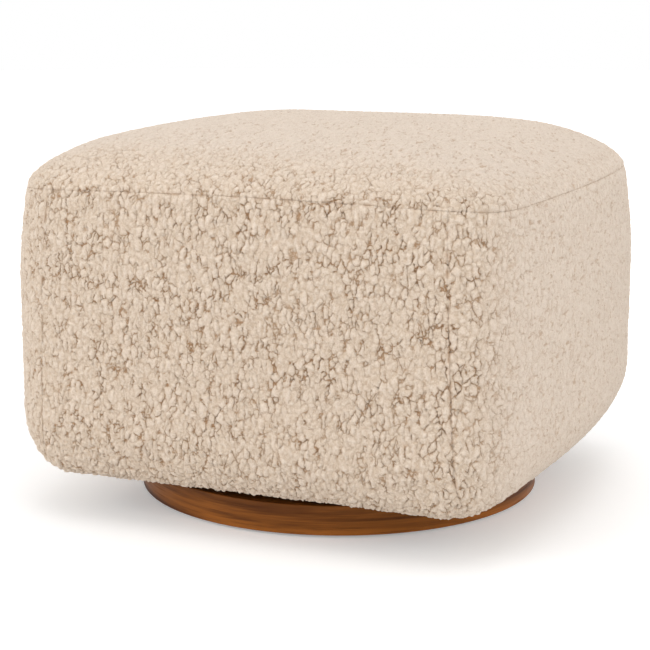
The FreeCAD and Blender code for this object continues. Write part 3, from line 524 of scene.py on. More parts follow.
seaming = {
    "depth": 0.0006,
    "width": 0.0030,
    "shadow": 0.0018,  # width of the painted shadow line where the panels meet
    "pile": 0.85,  # share of the pile's height that is left in a seam
    "pileReach": 0.005,  # distance at which the pile has its full height
    "pulls": ((0.22, 143, 0.0), (0.14, 391, 1.3)),  # uneven stitching: share, rate and phase of two waves
    "topShade": 0.8,  # the top seam's line is fainter than the upright ones
    "upwards": 0.2,  # next to the top seam the pile points this much upwards
    "settled": 0.006,  # and from this distance it follows its own panel
    "start": 0.01,  # an upright seam starts this far from the flap's edge
    "dipEnd": 0.05,  # and has its full depth here, and its full shade at the next distance
    "lineEnd": 0.04,
}

flapPile = {
    "share": 0.35,  # pile height at the flap's stapled edge
    "reach": 0.025,
}


def seamDip(distance, along):
    pull = 1 + sum(share * np.sin(along * rate + phase) for share, rate, phase in seaming["pulls"])
    return seaming["depth"] * pull * np.exp(-(distance / seaming["width"]) ** 2)


# painted shadow along a seam, strongest on the seam itself
def seamLine(distance):
    return np.exp(-(distance / seaming["shadow"]) ** 2)


def seamPile(distance):
    return seaming["pile"] + (1 - seaming["pile"]) * ramp(distance, 0.0, seaming["pileReach"])


def rimLoop(index):
    # the border of a grid, once round
    return np.concatenate([index[0, :], index[1:, -1], index[-1, -2::-1], index[-2:0:-1, 0]])


def closedShell(name, outer, inner, normals, spread):
    # outer and inner are grids of the same size; the inner one keeps its rim and every eighth line
    stride = meshing["stride"]
    rowCount, columnCount = outer.shape[:2]
    outerIndex = np.arange(rowCount * columnCount).reshape(rowCount, columnCount)
    kept = np.zeros((rowCount, columnCount), bool)
    kept[::stride, ::stride] = True
    kept[[0, -1], :] = True
    kept[:, [0, -1]] = True
    innerIndex = np.full((rowCount, columnCount), -1)
    innerIndex[kept] = outerIndex.size + np.arange(kept.sum())
    faces = gridQuads(outerIndex).tolist()
    outerCount = len(faces)
    for row in range(0, rowCount - 1, stride):
        for column in range(0, columnCount - 1, stride):
            low, high = row, row + stride
            left, right = column, column + stride
            loop = np.concatenate([innerIndex[low, left:right], innerIndex[low:high, right],
                                   innerIndex[high, right:left:-1], innerIndex[high:low:-1, left]])
            faces.append(loop[loop >= 0][::-1].tolist())
    edgeOuter = rimLoop(outerIndex)
    edgeInner = rimLoop(innerIndex)
    nextOuter = np.roll(edgeOuter, -1)
    nextInner = np.roll(edgeInner, -1)
    faces.extend(np.stack([nextOuter, edgeOuter, edgeInner, nextInner], axis=1).tolist())
    points = np.concatenate([outer.reshape(-1, 3), inner[kept]])
    mesh = bpy.data.meshes.new(name)
    mesh.from_pydata(points.tolist(), [], faces)
    quiet = np.zeros(kept.sum())
    for key, values in spread.items():
        attribute = mesh.attributes.new(key, "FLOAT", "POINT")
        attribute.data.foreach_set("value", np.concatenate([values.ravel(), quiet]).astype(np.float32))
    outward = mesh.attributes.new("outward", "FLOAT_VECTOR", "POINT")
    directions = np.concatenate([normals.reshape(-1, 3), np.zeros((kept.sum(), 3))])
    outward.data.foreach_set("vector", directions.ravel().astype(np.float32))
    mesh.shade_smooth()
    # the cut edges and the inside stay flat, so that they don't darken the fabric next to a seam
    flat = np.arange(len(faces)) >= outerCount
    mesh.attributes.new("sharp_face", "BOOLEAN", "FACE").data.foreach_set("value", flat)
    piece = bpy.data.objects.new(name, mesh)
    scene.collection.objects.link(piece)
    return piece


def edgeDistances(grid):
    # distance of each point from the grid's four edges, along its rows and columns
    acrossStep = np.linalg.norm(np.diff(grid, axis=1), axis=2)
    upStep = np.linalg.norm(np.diff(grid, axis=0), axis=2)
    fromLeft = np.concatenate([np.zeros((grid.shape[0], 1)), np.cumsum(acrossStep, axis=1)], axis=1)
    fromRight = fromLeft[:, -1:] - fromLeft
    fromBottom = np.concatenate([np.zeros((1, grid.shape[1])), np.cumsum(upStep, axis=0)], axis=0)
    fromTop = fromBottom[-1:, :] - fromBottom
    return np.minimum(fromLeft, fromRight), fromBottom, fromTop


def ramp(value, low, high):
    t = np.clip((value - low) / (high - low), 0, 1)
    return t * t * (3 - 2 * t)


def halfTurn(grid):
    return grid * np.array([-1, -1, 1])


def sidePanel(name, panel, turned):
    grid = sideGrid(panel, bodyForm["sunk"])
    flapRows = roundUp(bodyForm["flapReach"], meshing["step"], meshing["stride"]) // meshing["stride"]
    grid = grid + pillow(name, grid, flapRows)
    fromSeam, fromFlap, fromTop = edgeDistances(grid)
    dip = seamDip(fromSeam, grid[..., 2]) * ramp(fromFlap, seaming["start"], seaming["dipEnd"])
    dip = np.maximum(dip, seamDip(fromTop, grid[..., 0] + grid[..., 1]))
    normals = settledNormals(gridNormals(grid), fromTop)
    grid = grid - normals * dip[..., None]
    inner = sideGrid(panel, bodyForm["thickness"])
    if turned:
        grid, inner, normals = halfTurn(grid), halfTurn(inner), halfTurn(normals)
    stapled = flapPile["share"] + (1 - flapPile["share"]) * ramp(fromFlap, 0.0, flapPile["reach"])
    pile = seamPile(np.minimum(fromSeam, fromTop)) * stapled
    # the seam attribute marks where the shader paints a shadow line along the seams
    upright = seamLine(fromSeam) * ramp(fromFlap, seaming["start"], seaming["lineEnd"])
    seam = np.maximum(upright, seaming["topShade"] * seamLine(fromTop))
    return closedShell(name, grid, inner, normals,
                       {"pile": pile, "brushed": brushedAmount(grid), "seam": seam})


def crownPanel(name):
    grid = crownGrid(bodyForm["sunk"])
    grid = grid + pillow(name, grid, 0)
    line = np.abs(np.linspace(-1, 1, len(grid)))
    fromSeam = (1 - np.maximum.outer(line, line)) * (len(grid) - 1) / 2 * meshing["step"]
    dip = seamDip(fromSeam, grid[..., 0] + grid[..., 1])
    normals = settledNormals(gridNormals(grid), fromSeam)
    grid = grid - normals * dip[..., None]
    # the seam attribute marks where the shader paints a shadow line round the top
    return closedShell(name, grid, crownGrid(bodyForm["thickness"]), normals,
                       {"pile": seamPile(fromSeam), "brushed": brushedAmount(grid),
                        "seam": seaming["topShade"] * seamLine(fromSeam)})


brushing = {
    "topStart": -0.262,  # on the top, the pile lies flatter behind this line
    "topEnd": -0.195,
    "topSlant": 0.05,  # that line lies a little askew
    "topLeast": 0.3,  # the least brushing on the top
    "topRise": (-0.004, 0.03),  # heights from the seam over which the top's brushing sets in
    "sideStart": -0.33,  # on the left and right sides, behind this one
    "sideEnd": -0.22,
    "sideTurn": (0.24, 0.29),  # distances from the middle over which a corner becomes a side
    "sideShare": 0.85,
}


def brushedAmount(grid):
    # 0 where the curls stand up, 1 where they have been brushed flat
    x, y, z = np.moveaxis(grid, 2, 0)
    onTop = ramp(z - bodyForm["seamHeight"], *brushing["topRise"])
    flattened = ramp(y + brushing["topSlant"] * x, brushing["topStart"], brushing["topEnd"])
    top = (brushing["topLeast"] + (1 - brushing["topLeast"]) * flattened) * onTop
    side = ramp(y, brushing["sideStart"], brushing["sideEnd"]) * ramp(np.abs(x), *brushing["sideTurn"])
    return np.maximum(top, side * brushing["sideShare"])


# Shearling: tufts of curls with narrow gaps between them

shearling = {
    "tuft": 0.0065,  # width of a tuft
    "curl": 0.0027,  # width of one curl
    "stretch": 0.56,  # tufts are longer from top to bottom
    "bend": 0.0050,  # how irregular the tufts are
    "bendSize": 0.019,
    "ragged": 0.0022,  # the same, finer
    "raggedSize": 0.0050,
    "gapDepth": 0.0022,
    "tuftHeight": 0.0018,
    "uneven": 0.0012,  # tufts differ in height
    "curlHeight": 0.0010,
    "lyingHeight": 0.0018,  # pile that is brushed flat
    "lyingShare": 0.4,  # share of the tufts' height that brushing leaves
    "narrowGap": 0.05,  # width of a gap, in tufts, and what an open patch adds
    "moreGap": 0.05,
    "faintGap": 0.25,  # depth and painted shade of a narrow gap, and what an open patch adds
    "deepGap": 0.78,
    "openings": 125.0,  # open patches, zones of deeper gaps, specks, fibres and breaks in the painted seam shadow, per metre
    "zones": 30.0,
    "specks": 230.0,
    "fibres": 560.0,
    "seamShadeBreaks": 90.0,
    "speckShare": 0.58,  # depth and painted shade of the specks where the pile is brushed flat
    "brushedGap": 0.2,  # and of the gaps between tufts there
    # painted shade: how far the gaps between tufts take the dark gap colour
    "gapShade": 0.84,
    "seamShadeDarkness": 0.6,  # darkness of the painted shadow along a seam, and the share of it that brushing leaves
    "brushedSeamShade": 0.55,
    "curlTone": 0.55,  # what curls, tufts, chance and fibres add between shade and light: the curls' and tufts' part is painted light on their raised tops and painted shade low down
    "tuftTone": 0.40,
    "chanceTone": 0.10,
    "fibreTone": 2.2,
    "baseTone": -1.05,
    "brushedBlend": 0.8,
    "lumpBump": 0.0008,
    "fibreBump": 0.0013,
    "seed": 4.0,
    # light and shade: painted lit tops and painted shaded hollows of the pile
    "light": (0.91, 0.77, 0.64, 1),
    "shade": (0.73, 0.575, 0.43, 1),
    # painted shade colour of the gaps between tufts and of the seam lines
    "paintedShadeColor": (0.42, 0.215, 0.085, 1),
    "brushedColor": (0.80, 0.68, 0.575, 1),
}


def clumpField(tree, at, brushed):
    # tufts and curls at a place: the mesh and the colour both follow this one pattern
    look = shearling
    place = vectorCalc(tree, "MULTIPLY", at, (1.0, 1.0, look["stretch"]))
    place = vectorCalc(tree, "ADD", place, (look["seed"], 0.0, 0.0))
    for amount, size in (("bend", "bendSize"), ("ragged", "raggedSize")):
        noise = addNode(tree, "ShaderNodeTexNoise", {"Vector": at, "Scale": 1 / look[size], "Detail": 2.0})
        shift = vectorCalc(tree, "SUBTRACT", noise.outputs["Color"], (0.5, 0.5, 0.5))
        place = vectorCalc(tree, "ADD", place, vectorCalc(tree, "SCALE", shift, scale=2 * look[amount]))
    tuftCells = {"Vector": place, "Scale": 1 / look["tuft"]}
    tuftEdge = addNode(tree, "ShaderNodeTexVoronoi", tuftCells, feature="DISTANCE_TO_EDGE")
    tuft = addNode(tree, "ShaderNodeTexVoronoi", tuftCells, feature="F1")
    chance = addNode(tree, "ShaderNodeSeparateXYZ", {"Vector": tuft.outputs["Color"]})
    curls = addNode(tree, "ShaderNodeTexNoise", {
        "Vector": at, "Scale": 1 / look["curl"], "Detail": 1.5, "Distortion": 0.8})
    patches = addNode(tree, "ShaderNodeTexNoise", {
        "Vector": place, "Scale": look["openings"], "Detail": 1.0})
    opening = remap(tree, patches.outputs["Fac"], 0.42, 0.62)
    gapWidth = calc(tree, "MULTIPLY_ADD", opening, look["moreGap"], look["narrowGap"])
    gap = remap(tree, tuftEdge.outputs["Distance"], 0.0, gapWidth, 1.0, 0.0)
    zones = addNode(tree, "ShaderNodeTexNoise", {"Vector": at, "Scale": look["zones"], "Detail": 1.0})
    strength = calc(tree, "MULTIPLY_ADD", opening, look["deepGap"], look["faintGap"])
    strength = calc(tree, "MULTIPLY", strength, remap(tree, zones.outputs["Fac"], 0.35, 0.65, 0.75, 1.05))
    flattened = vectorCalc(tree, "MULTIPLY", at, (1.0, 0.5, 1.0))
    sparse = addNode(tree, "ShaderNodeTexNoise", {
        "Vector": flattened, "Scale": look["specks"], "Detail": 1.0, "Distortion": 1.0})
    specks = remap(tree, sparse.outputs["Fac"], 0.56, 0.72, 0.0, look["speckShare"])
    faint = calc(tree, "MULTIPLY", gap, look["brushedGap"])
    mixed = addNode(tree, "ShaderNodeMix", {"Factor": brushed}, data_type="FLOAT")
    feed(tree, calc(tree, "MULTIPLY", gap, strength), mixed.inputs[2])
    feed(tree, calc(tree, "MAXIMUM", specks, faint), mixed.inputs[3])
    gap = mixed.outputs[0]
    stand = remap(tree, brushed, 0.0, 1.0, 1.0, look["lyingShare"], smooth=False)
    tuftDome = remap(tree, tuftEdge.outputs["Distance"], 0.0, 0.45)
    curl = remap(tree, curls.outputs["Fac"], 0.28, 0.72)
    return {"gap": gap, "tuft": tuftDome, "curl": curl, "chance": chance.outputs["X"], "stand": stand}


pileInputs = {"Gap Depth": "gapDepth", "Tuft Height": "tuftHeight", "Uneven": "uneven",
              "Curl Height": "curlHeight", "Lying Height": "lyingHeight"}


def pileTree(material):
    tree = bpy.data.node_groups.new("shearlingPile", "GeometryNodeTree")
    tree.interface.new_socket("Geometry", in_out="INPUT", socket_type="NodeSocketGeometry")
    for name, key in pileInputs.items():
        socket = tree.interface.new_socket(name, in_out="INPUT", socket_type="NodeSocketFloat")
        socket.default_value = shearling[key]
    tree.interface.new_socket("Geometry", in_out="OUTPUT", socket_type="NodeSocketGeometry")
    given = tree.nodes.new("NodeGroupInput")
    position = addNode(tree, "GeometryNodeInputPosition").outputs[0]
    outward, pile, brushed = (
        addNode(tree, "GeometryNodeInputNamedAttribute", {"Name": name}, data_type=kind).outputs[0]
        for name, kind in (("outward", "FLOAT_VECTOR"), ("pile", "FLOAT"), ("brushed", "FLOAT")))
    kept = addNode(tree, "GeometryNodeStoreNamedAttribute", {
        "Geometry": given.outputs[0], "Name": "sewnPlace", "Value": position},
        data_type="FLOAT_VECTOR", domain="POINT")
    field = clumpField(tree, position, brushed)
    height = calc(tree, "MULTIPLY", field["tuft"], given.outputs["Tuft Height"])
    spread = calc(tree, "MULTIPLY", calc(tree, "SUBTRACT", field["chance"], 0.5), given.outputs["Uneven"])
    height = calc(tree, "ADD", height, spread)
    height = calc(tree, "MULTIPLY_ADD", field["curl"], given.outputs["Curl Height"], height)
    height = calc(tree, "MULTIPLY", height, field["stand"])
    lying = calc(tree, "SUBTRACT", 1.0, field["stand"])
    height = calc(tree, "MULTIPLY_ADD", lying, given.outputs["Lying Height"], height)
    sunk = calc(tree, "MULTIPLY", field["gap"], given.outputs["Gap Depth"])
    height = calc(tree, "MULTIPLY", calc(tree, "SUBTRACT", height, sunk), pile)
    offset = vectorCalc(tree, "SCALE", outward, scale=height)
    moved = addNode(tree, "GeometryNodeSetPosition", {"Geometry": kept.outputs[0], "Offset": offset})
    real = addNode(tree, "GeometryNodeRealizeInstances", {"Geometry": moved.outputs[0]})
    finished = addNode(tree, "GeometryNodeSetMaterial", {"Geometry": real.outputs[0], "Material": material})
    result = tree.nodes.new("NodeGroupOutput")
    tree.links.new(finished.outputs[0], result.inputs[0])
    return tree


def shearlingMaterial():
    look = shearling
    material, tree, shader = newMaterial("creamShearling", 0.92, Specular_IOR_Level=0.12,
                                         Sheen_Weight=0.25, Sheen_Roughness=0.6)
    shader.inputs["Sheen Tint"].default_value = (1.0, 0.93, 0.84, 1)
    place = addNode(tree, "ShaderNodeAttribute", attribute_name="sewnPlace").outputs["Vector"]
    brushed = addNode(tree, "ShaderNodeAttribute", attribute_name="brushed").outputs["Fac"]
    seam = addNode(tree, "ShaderNodeAttribute", attribute_name="seam").outputs["Fac"]
    field = clumpField(tree, place, brushed)
    fibres = addNode(tree, "ShaderNodeTexNoise", {
        "Vector": place, "Scale": look["fibres"], "Detail": 3.0, "Roughness": 0.65, "Distortion": 1.8})
    # painted light and shade: tufts and curls are lighter on their raised parts and darker low down; chance
    # and fibres vary the tone at random
    tone = calc(tree, "MULTIPLY", field["tuft"], look["tuftTone"])
    tone = calc(tree, "MULTIPLY_ADD", field["curl"], look["curlTone"], tone)
    tone = calc(tree, "MULTIPLY_ADD", field["chance"], look["chanceTone"], tone)
    tone = calc(tree, "ADD", tone, look["baseTone"])
    tone = calc(tree, "MULTIPLY_ADD", fibres.outputs["Fac"], look["fibreTone"], tone)
    curly = mixColors(tree, remap(tree, tone, 0.1, 0.95, smooth=False), look["shade"], look["light"])
    smoothTone = remap(tree, fibres.outputs["Fac"], 0.3, 0.7, 0.88, 1.08, smooth=False)
    grain = addNode(tree, "ShaderNodeCombineXYZ", {"X": smoothTone, "Y": smoothTone, "Z": smoothTone})
    flat = mixColors(tree, 1.0, look["brushedColor"], grain.outputs[0], blend="MULTIPLY")
    color = mixColors(tree, calc(tree, "MULTIPLY", brushed, look["brushedBlend"]), curly, flat)
    # painted shadow along the seams, broken into dashes by noise and fainter where the pile is brushed
    broken = addNode(tree, "ShaderNodeTexNoise", {
        "Vector": place, "Scale": look["seamShadeBreaks"], "Detail": 2.0})
    paintedSeamShade = remap(tree, broken.outputs["Fac"], 0.46, 0.64, 0.0, look["seamShadeDarkness"])
    paintedSeamShade = calc(tree, "MULTIPLY", paintedSeamShade, remap(tree, brushed, 0.0, 1.0, 1.0, look["brushedSeamShade"]))
    paintedSeamShade = calc(tree, "MULTIPLY", paintedSeamShade, seam)
    # painted shade: the gaps between tufts and the seams take the dark gap colour
    dark = calc(tree, "MAXIMUM", calc(tree, "MULTIPLY", field["gap"], look["gapShade"]), paintedSeamShade)
    tree.links.new(mixColors(tree, dark, color, look["paintedShadeColor"]), shader.inputs["Base Color"])
    lumps = calc(tree, "MULTIPLY_ADD", field["curl"], 0.9, calc(tree, "MULTIPLY", field["tuft"], 0.4))
    lumps = calc(tree, "MULTIPLY", lumps, field["stand"])
    lumps = calc(tree, "SUBTRACT", lumps, field["gap"])
    broad = bumpInto(tree, shader, lumps, look["lumpBump"], 0.8)
    bumpInto(tree, shader, fibres.outputs["Fac"], look["fibreBump"], 0.7, normal=broad)
    return material


def finishCover(piece, tree, node):
    modifier = piece.modifiers.new("pile", "NODES")
    modifier.node_group = tree
    for item in tree.interface.items_tree:
        if item.in_out == "INPUT" and item.name in pileInputs:
            modifier[item.identifier] = shearling[pileInputs[item.name]]
    graph = bpy.context.evaluated_depsgraph_get()
    mesh = bpy.data.meshes.new_from_object(piece.evaluated_get(graph), preserve_all_data_layers=True,
                                           depsgraph=graph)
    piece.modifiers.remove(modifier)
    piece.data = mesh
    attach(piece, "carriage")
    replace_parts(piece, node)


def makeCovers():
    tree = pileTree(shearlingMaterial())
    finishCover(sidePanel("front_shearling", "front", False), tree, "front_cover")
    finishCover(sidePanel("back_shearling", "front", True), tree, "back_cover")
    finishCover(sidePanel("right_shearling", "right", False), tree, "right_cover")
    finishCover(sidePanel("left_shearling", "right", True), tree, "left_cover")
    finishCover(crownPanel("top_shearling"), tree, "top_cover")


makeCovers()
print("shearling covers are made")

# Foam: each block is the CAD solid, cut from one sheet of open-cell foam

foaming = {
    "voxel": 0.006,
    "color": (0.80, 0.72, 0.50, 1),
    "darker": (0.656, 0.5904, 0.41, 1),  # patches that have aged more
    # painted shade inside the foam's pores
    "poreShadeColor": (0.42, 0.34, 0.20, 1),
    "cell": 0.0016,
}


def foamMaterial():
    material, tree, shader = newMaterial("openCellFoam", 0.95)
    place = addNode(tree, "ShaderNodeTexCoord").outputs["Object"]
    cells = addNode(tree, "ShaderNodeTexVoronoi", {"Vector": place, "Scale": 1 / foaming["cell"]})
    patches = addNode(tree, "ShaderNodeTexNoise", {"Vector": place, "Scale": 14.0, "Detail": 3.0})
    aged = remap(tree, patches.outputs["Fac"], 0.35, 0.65)
    color = mixColors(tree, aged, foaming["color"], foaming["darker"])
    # painted shade: the pores darken towards their middles
    color = mixColors(tree, remap(tree, cells.outputs["Distance"], 0.0, 0.25, 0.5, 0.0), color,
                      foaming["poreShadeColor"])
    tree.links.new(color, shader.inputs["Base Color"])
    bumpInto(tree, shader, cells.outputs["Distance"], 0.0006, 0.7)
    return material


def makeFoam():
    material = foamMaterial()
    for side in ("front", "back", "left", "right", "top"):
        node = f"{side}_foam"
        piece = bpy.data.objects.new(f"{side}_padding", nodes[node].data.copy())
        scene.collection.objects.link(piece)
        remesh = piece.modifiers.new("even", "REMESH")
        remesh.mode = "VOXEL"
        remesh.voxel_size = foaming["voxel"]
        evaluated = piece.evaluated_get(bpy.context.evaluated_depsgraph_get())
        mesh = bpy.data.meshes.new_from_object(evaluated)
        piece.modifiers.remove(remesh)
        piece.data = mesh
        mesh.materials.clear()
        mesh.materials.append(material)
        mesh.shade_smooth()
        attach(piece, "carriage")
        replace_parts(piece, node)


makeFoam()
print("foam is made")

# Shader groups that several materials share

groupOutputs = {"Color": "NodeSocketColor", "Height": "NodeSocketFloat", "Roughness": "NodeSocketFloat"}


def groupTree(name, inputs, outputs):
    tree = bpy.data.node_groups.new(name, "ShaderNodeTree")
    for key, value in inputs.items():
        kind = "NodeSocketColor" if isinstance(value, tuple) and len(value) == 4 else (
            "NodeSocketVector" if isinstance(value, tuple) else "NodeSocketFloat")
        socket = tree.interface.new_socket(key, in_out="INPUT", socket_type=kind)
        socket.default_value = value
    for key, kind in outputs.items():
        tree.interface.new_socket(key, in_out="OUTPUT", socket_type=kind)
    return tree, tree.nodes.new("NodeGroupInput"), tree.nodes.new("NodeGroupOutput")


def grainGroup():
    # lengthwise wood grain: Vector's X runs along the grain
    tree, given, result = groupTree("woodGrain", {
        "Vector": (0.0, 0.0, 0.0), "Fineness": 1.0,
        "Light": (0.2, 0.1, 0.05, 1), "Dark": (0.1, 0.05, 0.02, 1), "Contrast": 1.0}, groupOutputs)
    stretched = vectorCalc(tree, "MULTIPLY", given.outputs["Vector"], (3.2, 46.0, 46.0))
    stretched = vectorCalc(tree, "SCALE", stretched, scale=given.outputs["Fineness"])
    figure = addNode(tree, "ShaderNodeTexNoise", {"Vector": stretched, "Scale": 1.0, "Detail": 5.0,
                                                  "Roughness": 0.55, "Distortion": 0.5})
    poreVector = vectorCalc(tree, "MULTIPLY", stretched, (5.0, 14.0, 14.0))
    pores = addNode(tree, "ShaderNodeTexNoise", {"Vector": poreVector, "Scale": 1.0, "Detail": 2.0})
    pore = remap(tree, pores.outputs["Fac"], 0.34, 0.46, 1.0, 0.0)
    band = remap(tree, figure.outputs["Fac"], 0.36, 0.64)
    band = calc(tree, "MULTIPLY", band, given.outputs["Contrast"])
    color = mixColors(tree, band, given.outputs["Light"], given.outputs["Dark"])
    color = mixColors(tree, calc(tree, "MULTIPLY", pore, 0.35), color, given.outputs["Dark"])
    tree.links.new(color, result.inputs["Color"])
    height = calc(tree, "SUBTRACT", calc(tree, "MULTIPLY", figure.outputs["Fac"], 0.3), pore)
    tree.links.new(height, result.inputs["Height"])
    rough = calc(tree, "MULTIPLY_ADD", pore, 0.18, calc(tree, "MULTIPLY_ADD", band, 0.08, 0.36))
    tree.links.new(rough, result.inputs["Roughness"])
    return tree


def speckGroup():
    # fine unevenness of a coated or cast surface
    tree, given, result = groupTree("surfaceSpeck", {
        "Vector": (0.0, 0.0, 0.0), "Size": 0.001, "Color": (0.5, 0.5, 0.5, 1), "Variation": 0.1,
        "Smooth": 0.3, "Rough": 0.5}, groupOutputs)
    fine = calc(tree, "DIVIDE", 1.0, given.outputs["Size"])
    grains = addNode(tree, "ShaderNodeTexNoise", {"Vector": given.outputs["Vector"], "Scale": fine,
                                                  "Detail": 3.0})
    clouds = addNode(tree, "ShaderNodeTexNoise", {"Vector": given.outputs["Vector"], "Scale": 18.0,
                                                  "Detail": 4.0})
    change = calc(tree, "MULTIPLY", calc(tree, "SUBTRACT", clouds.outputs["Fac"], 0.5),
                  given.outputs["Variation"])
    bright = addNode(tree, "ShaderNodeHueSaturation", {"Value": calc(tree, "ADD", 1.0, change),
                                                       "Color": given.outputs["Color"]})
    tree.links.new(bright.outputs["Color"], result.inputs["Color"])
    tree.links.new(grains.outputs["Fac"], result.inputs["Height"])
    rough = addNode(tree, "ShaderNodeMapRange", {
        "Value": clouds.outputs["Fac"], "From Min": 0.3, "From Max": 0.7,
        "To Min": given.outputs["Smooth"], "To Max": given.outputs["Rough"]})
    tree.links.new(rough.outputs["Result"], result.inputs["Roughness"])
    return tree


woodGrain = grainGroup()
surfaceSpeck = speckGroup()


def useGroup(tree, group, inputs):
    made = tree.nodes.new("ShaderNodeGroup")
    made.node_tree = group
    for key, value in inputs.items():
        feed(tree, value, made.inputs[key])
    return made


def applyGroup(tree, shader, made, distance, strength=1.0):
    tree.links.new(made.outputs["Color"], shader.inputs["Base Color"])
    tree.links.new(made.outputs["Roughness"], shader.inputs["Roughness"])
    bumpInto(tree, shader, made.outputs["Height"], distance, strength)


walnut = {
    "light": (0.37, 0.122, 0.020, 1),
    "dark": (0.066, 0.018, 0.003, 1),
    "rimRadius": 0.233,
}


def rimPlace(tree):
    # distance round the rim and height, for grain that follows the band
    place = addNode(tree, "ShaderNodeTexCoord").outputs["Object"]
    parts = addNode(tree, "ShaderNodeSeparateXYZ", {"Vector": place})
    turned = calc(tree, "ARCTAN2", parts.outputs["X"], calc(tree, "MULTIPLY", parts.outputs["Y"], -1.0))
    around = calc(tree, "MULTIPLY", turned, walnut["rimRadius"])
    return addNode(tree, "ShaderNodeCombineXYZ", {"X": around, "Y": parts.outputs["Z"]}).outputs[0]


def walnutMaterial(name, followsRim):
    material, tree, shader = newMaterial(name, 0.4, Specular_IOR_Level=0.13)
    place = rimPlace(tree) if followsRim else addNode(tree, "ShaderNodeTexCoord").outputs["Object"]
    made = useGroup(tree, woodGrain, {"Vector": place, "Light": walnut["light"], "Dark": walnut["dark"],
                                      "Fineness": 1.0, "Contrast": 0.95})
    applyGroup(tree, shader, made, 0.0002, 0.5)
    return material


boards = {
    "birch": {"light": (0.62, 0.45, 0.27, 1), "dark": (0.47, 0.31, 0.17, 1), "fineness": 0.7},
    "pine": {"light": (0.68, 0.49, 0.28, 1), "dark": (0.50, 0.31, 0.15, 1), "fineness": 0.5},
    "stained": {"light": (0.15, 0.075, 0.035, 1), "dark": (0.08, 0.035, 0.016, 1), "fineness": 0.8},
}


def boardMaterial(wood, axes="XYZ"):
    # axes: the object's axes along the grain and across it
    look = boards[wood]
    material, tree, shader = newMaterial(f"{wood}Board{axes[0]}", 0.7)
    place = addNode(tree, "ShaderNodeTexCoord").outputs["Object"]
    parts = addNode(tree, "ShaderNodeSeparateXYZ", {"Vector": place})
    turned = addNode(tree, "ShaderNodeCombineXYZ", {
        to: parts.outputs[axis] for to, axis in zip("XYZ", axes)})
    made = useGroup(tree, woodGrain, {"Vector": turned.outputs[0], "Fineness": look["fineness"],
                                      "Light": look["light"], "Dark": look["dark"], "Contrast": 0.7})
    applyGroup(tree, shader, made, 0.0003, 0.5)
    return material


def speckMaterial(name, color, size, smooth, rough, metallic=0.0, variation=0.15, bump=0.0001):
    material, tree, shader = newMaterial(name, 0.5, metallic)
    place = addNode(tree, "ShaderNodeTexCoord").outputs["Object"]
    made = useGroup(tree, surfaceSpeck, {"Vector": place, "Size": size, "Color": color,
                                         "Variation": variation, "Smooth": smooth, "Rough": rough})
    applyGroup(tree, shader, made, bump, 0.6)
    return material


def clothMaterial():
    material, tree, shader = newMaterial("blackSpunbond", 0.85)
    place = addNode(tree, "ShaderNodeTexCoord").outputs["Object"]
    dots = addNode(tree, "ShaderNodeTexVoronoi", {"Vector": place, "Scale": 420.0, "Randomness": 0.25})
    pressed = remap(tree, dots.outputs["Distance"], 0.2, 0.42)
    color = mixColors(tree, pressed, (0.012, 0.012, 0.013, 1), (0.03, 0.03, 0.031, 1))
    tree.links.new(color, shader.inputs["Base Color"])
    bumpInto(tree, shader, pressed, 0.0003, 0.6)
    return material


finishes = {
    "walnut": walnutMaterial("walnutRim", True),
    "plinth_underside": boardMaterial("stained"),
    "plywood": boardMaterial("birch"),
    "softwood": boardMaterial("pine"),
    "black_cloth": clothMaterial(),
    "black_steel": speckMaterial("powderCoat", (0.022, 0.022, 0.023, 1), 0.0009, 0.38, 0.5),
    "zinc_steel": speckMaterial("zincPlate", (0.60, 0.61, 0.60, 1), 0.0004, 0.24, 0.4, 1.0),
    "bearing_steel": speckMaterial("bearingSteel", (0.70, 0.70, 0.71, 1), 0.0003, 0.08, 0.16, 1.0, 0.05,
                                   0.00002),
    "rubber": speckMaterial("blackRubber", (0.022, 0.022, 0.022, 1), 0.0012, 0.7, 0.85),
    "glide_pad": speckMaterial("padNylon", (0.02, 0.018, 0.016, 1), 0.0015, 0.55, 0.7),
}


# pieces whose grain runs another way than the rest of their slot
otherGrain = {
    "plinth_upper_disc": walnutMaterial("walnutDisc", False),
    "corner_posts": boardMaterial("pine", "ZXY"),
}
otherGrain |= dict.fromkeys(["left_board", "right_board", "left_bottom_board", "right_bottom_board"],
                            boardMaterial("birch", "YXZ"))


def dressNodes():
    slots = {row["node"]: row["material_slot"] for row in frame["record"]["subparts"]}
    replaced = set()
    for piece in scene.objects:
        replaced.update(piece.get("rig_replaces", []))
    for name, node in nodes.items():
        if name not in replaced:
            node.data.materials.clear()
            node.data.materials.append(otherGrain.get(name, finishes[slots[name]]))


# Black cloth under the body, stapled round its edge and open at the mechanism

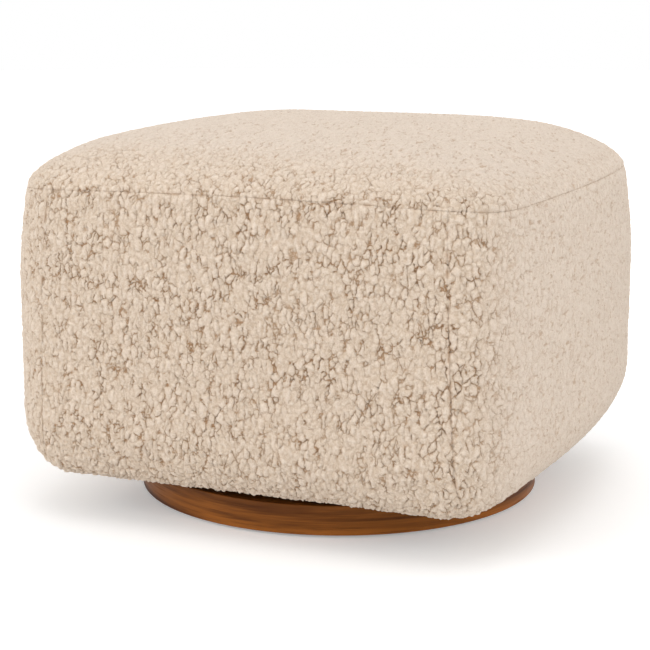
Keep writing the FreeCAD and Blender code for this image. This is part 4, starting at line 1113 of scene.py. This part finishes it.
dustCloth = {
    "spacing": 0.008,
    "sag": 0.0008,
    "sagReach": 0.03,  # from a stapled edge the cloth sags over this distance
    "ripple": 0.4,
    "rippleRate": 70,
    "thickness": 0.0006,
}


def makeDustCloth():
    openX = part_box("right_bottom_board")[0].x
    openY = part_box("right_bottom_board")[1].y
    level = clothHigh.z - dustCloth["thickness"]
    lines = []
    for reach, opening in ((clothHigh.x, openX), (clothHigh.y, openY)):
        count = 2 * int(round((reach - opening) / dustCloth["spacing"]))
        middle = 2 * int(round(opening / dustCloth["spacing"]))
        lines.append(np.concatenate([np.linspace(-reach, -opening, count // 2 + 1)[:-1],
                                     np.linspace(-opening, opening, middle + 1),
                                     np.linspace(opening, reach, count // 2 + 1)[1:]]))
    x, y = np.meshgrid(*lines)
    edge = np.minimum(clothHigh.x - np.abs(x), clothHigh.y - np.abs(y))
    hollow = np.sin(np.clip(edge / dustCloth["sagReach"], 0, 1) * np.pi)
    ripple = 1 - dustCloth["ripple"] + dustCloth["ripple"] * np.sin(dustCloth["rippleRate"] * (x + y))
    sag = dustCloth["sag"] * hollow * ripple
    points = np.stack([x, y, level - sag], axis=2)
    index = np.arange(x.size).reshape(x.shape)
    centreX = (x[:-1, :-1] + x[1:, 1:]) / 2
    centreY = (y[:-1, :-1] + y[1:, 1:]) / 2
    solid = (np.abs(centreX) > openX) | (np.abs(centreY) > openY)
    quads = np.stack([index[:-1, :-1], index[1:, :-1], index[1:, 1:], index[:-1, 1:]], axis=2)[solid]
    used, quads = np.unique(quads, return_inverse=True)
    mesh = bpy.data.meshes.new("dust_cloth")
    mesh.from_pydata(points.reshape(-1, 3)[used].tolist(), [], quads.reshape(-1, 4).tolist())
    mesh.shade_smooth()
    mesh.materials.append(finishes["black_cloth"])
    cloth = bpy.data.objects.new("dust_cloth", mesh)
    scene.collection.objects.link(cloth)
    wall = cloth.modifiers.new("wall", "SOLIDIFY")
    wall.thickness = dustCloth["thickness"]
    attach(cloth, "carriage")
    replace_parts(cloth, "dust_cover")


makeDustCloth()
dressNodes()
print("wood, steel and cloth have their finishes")
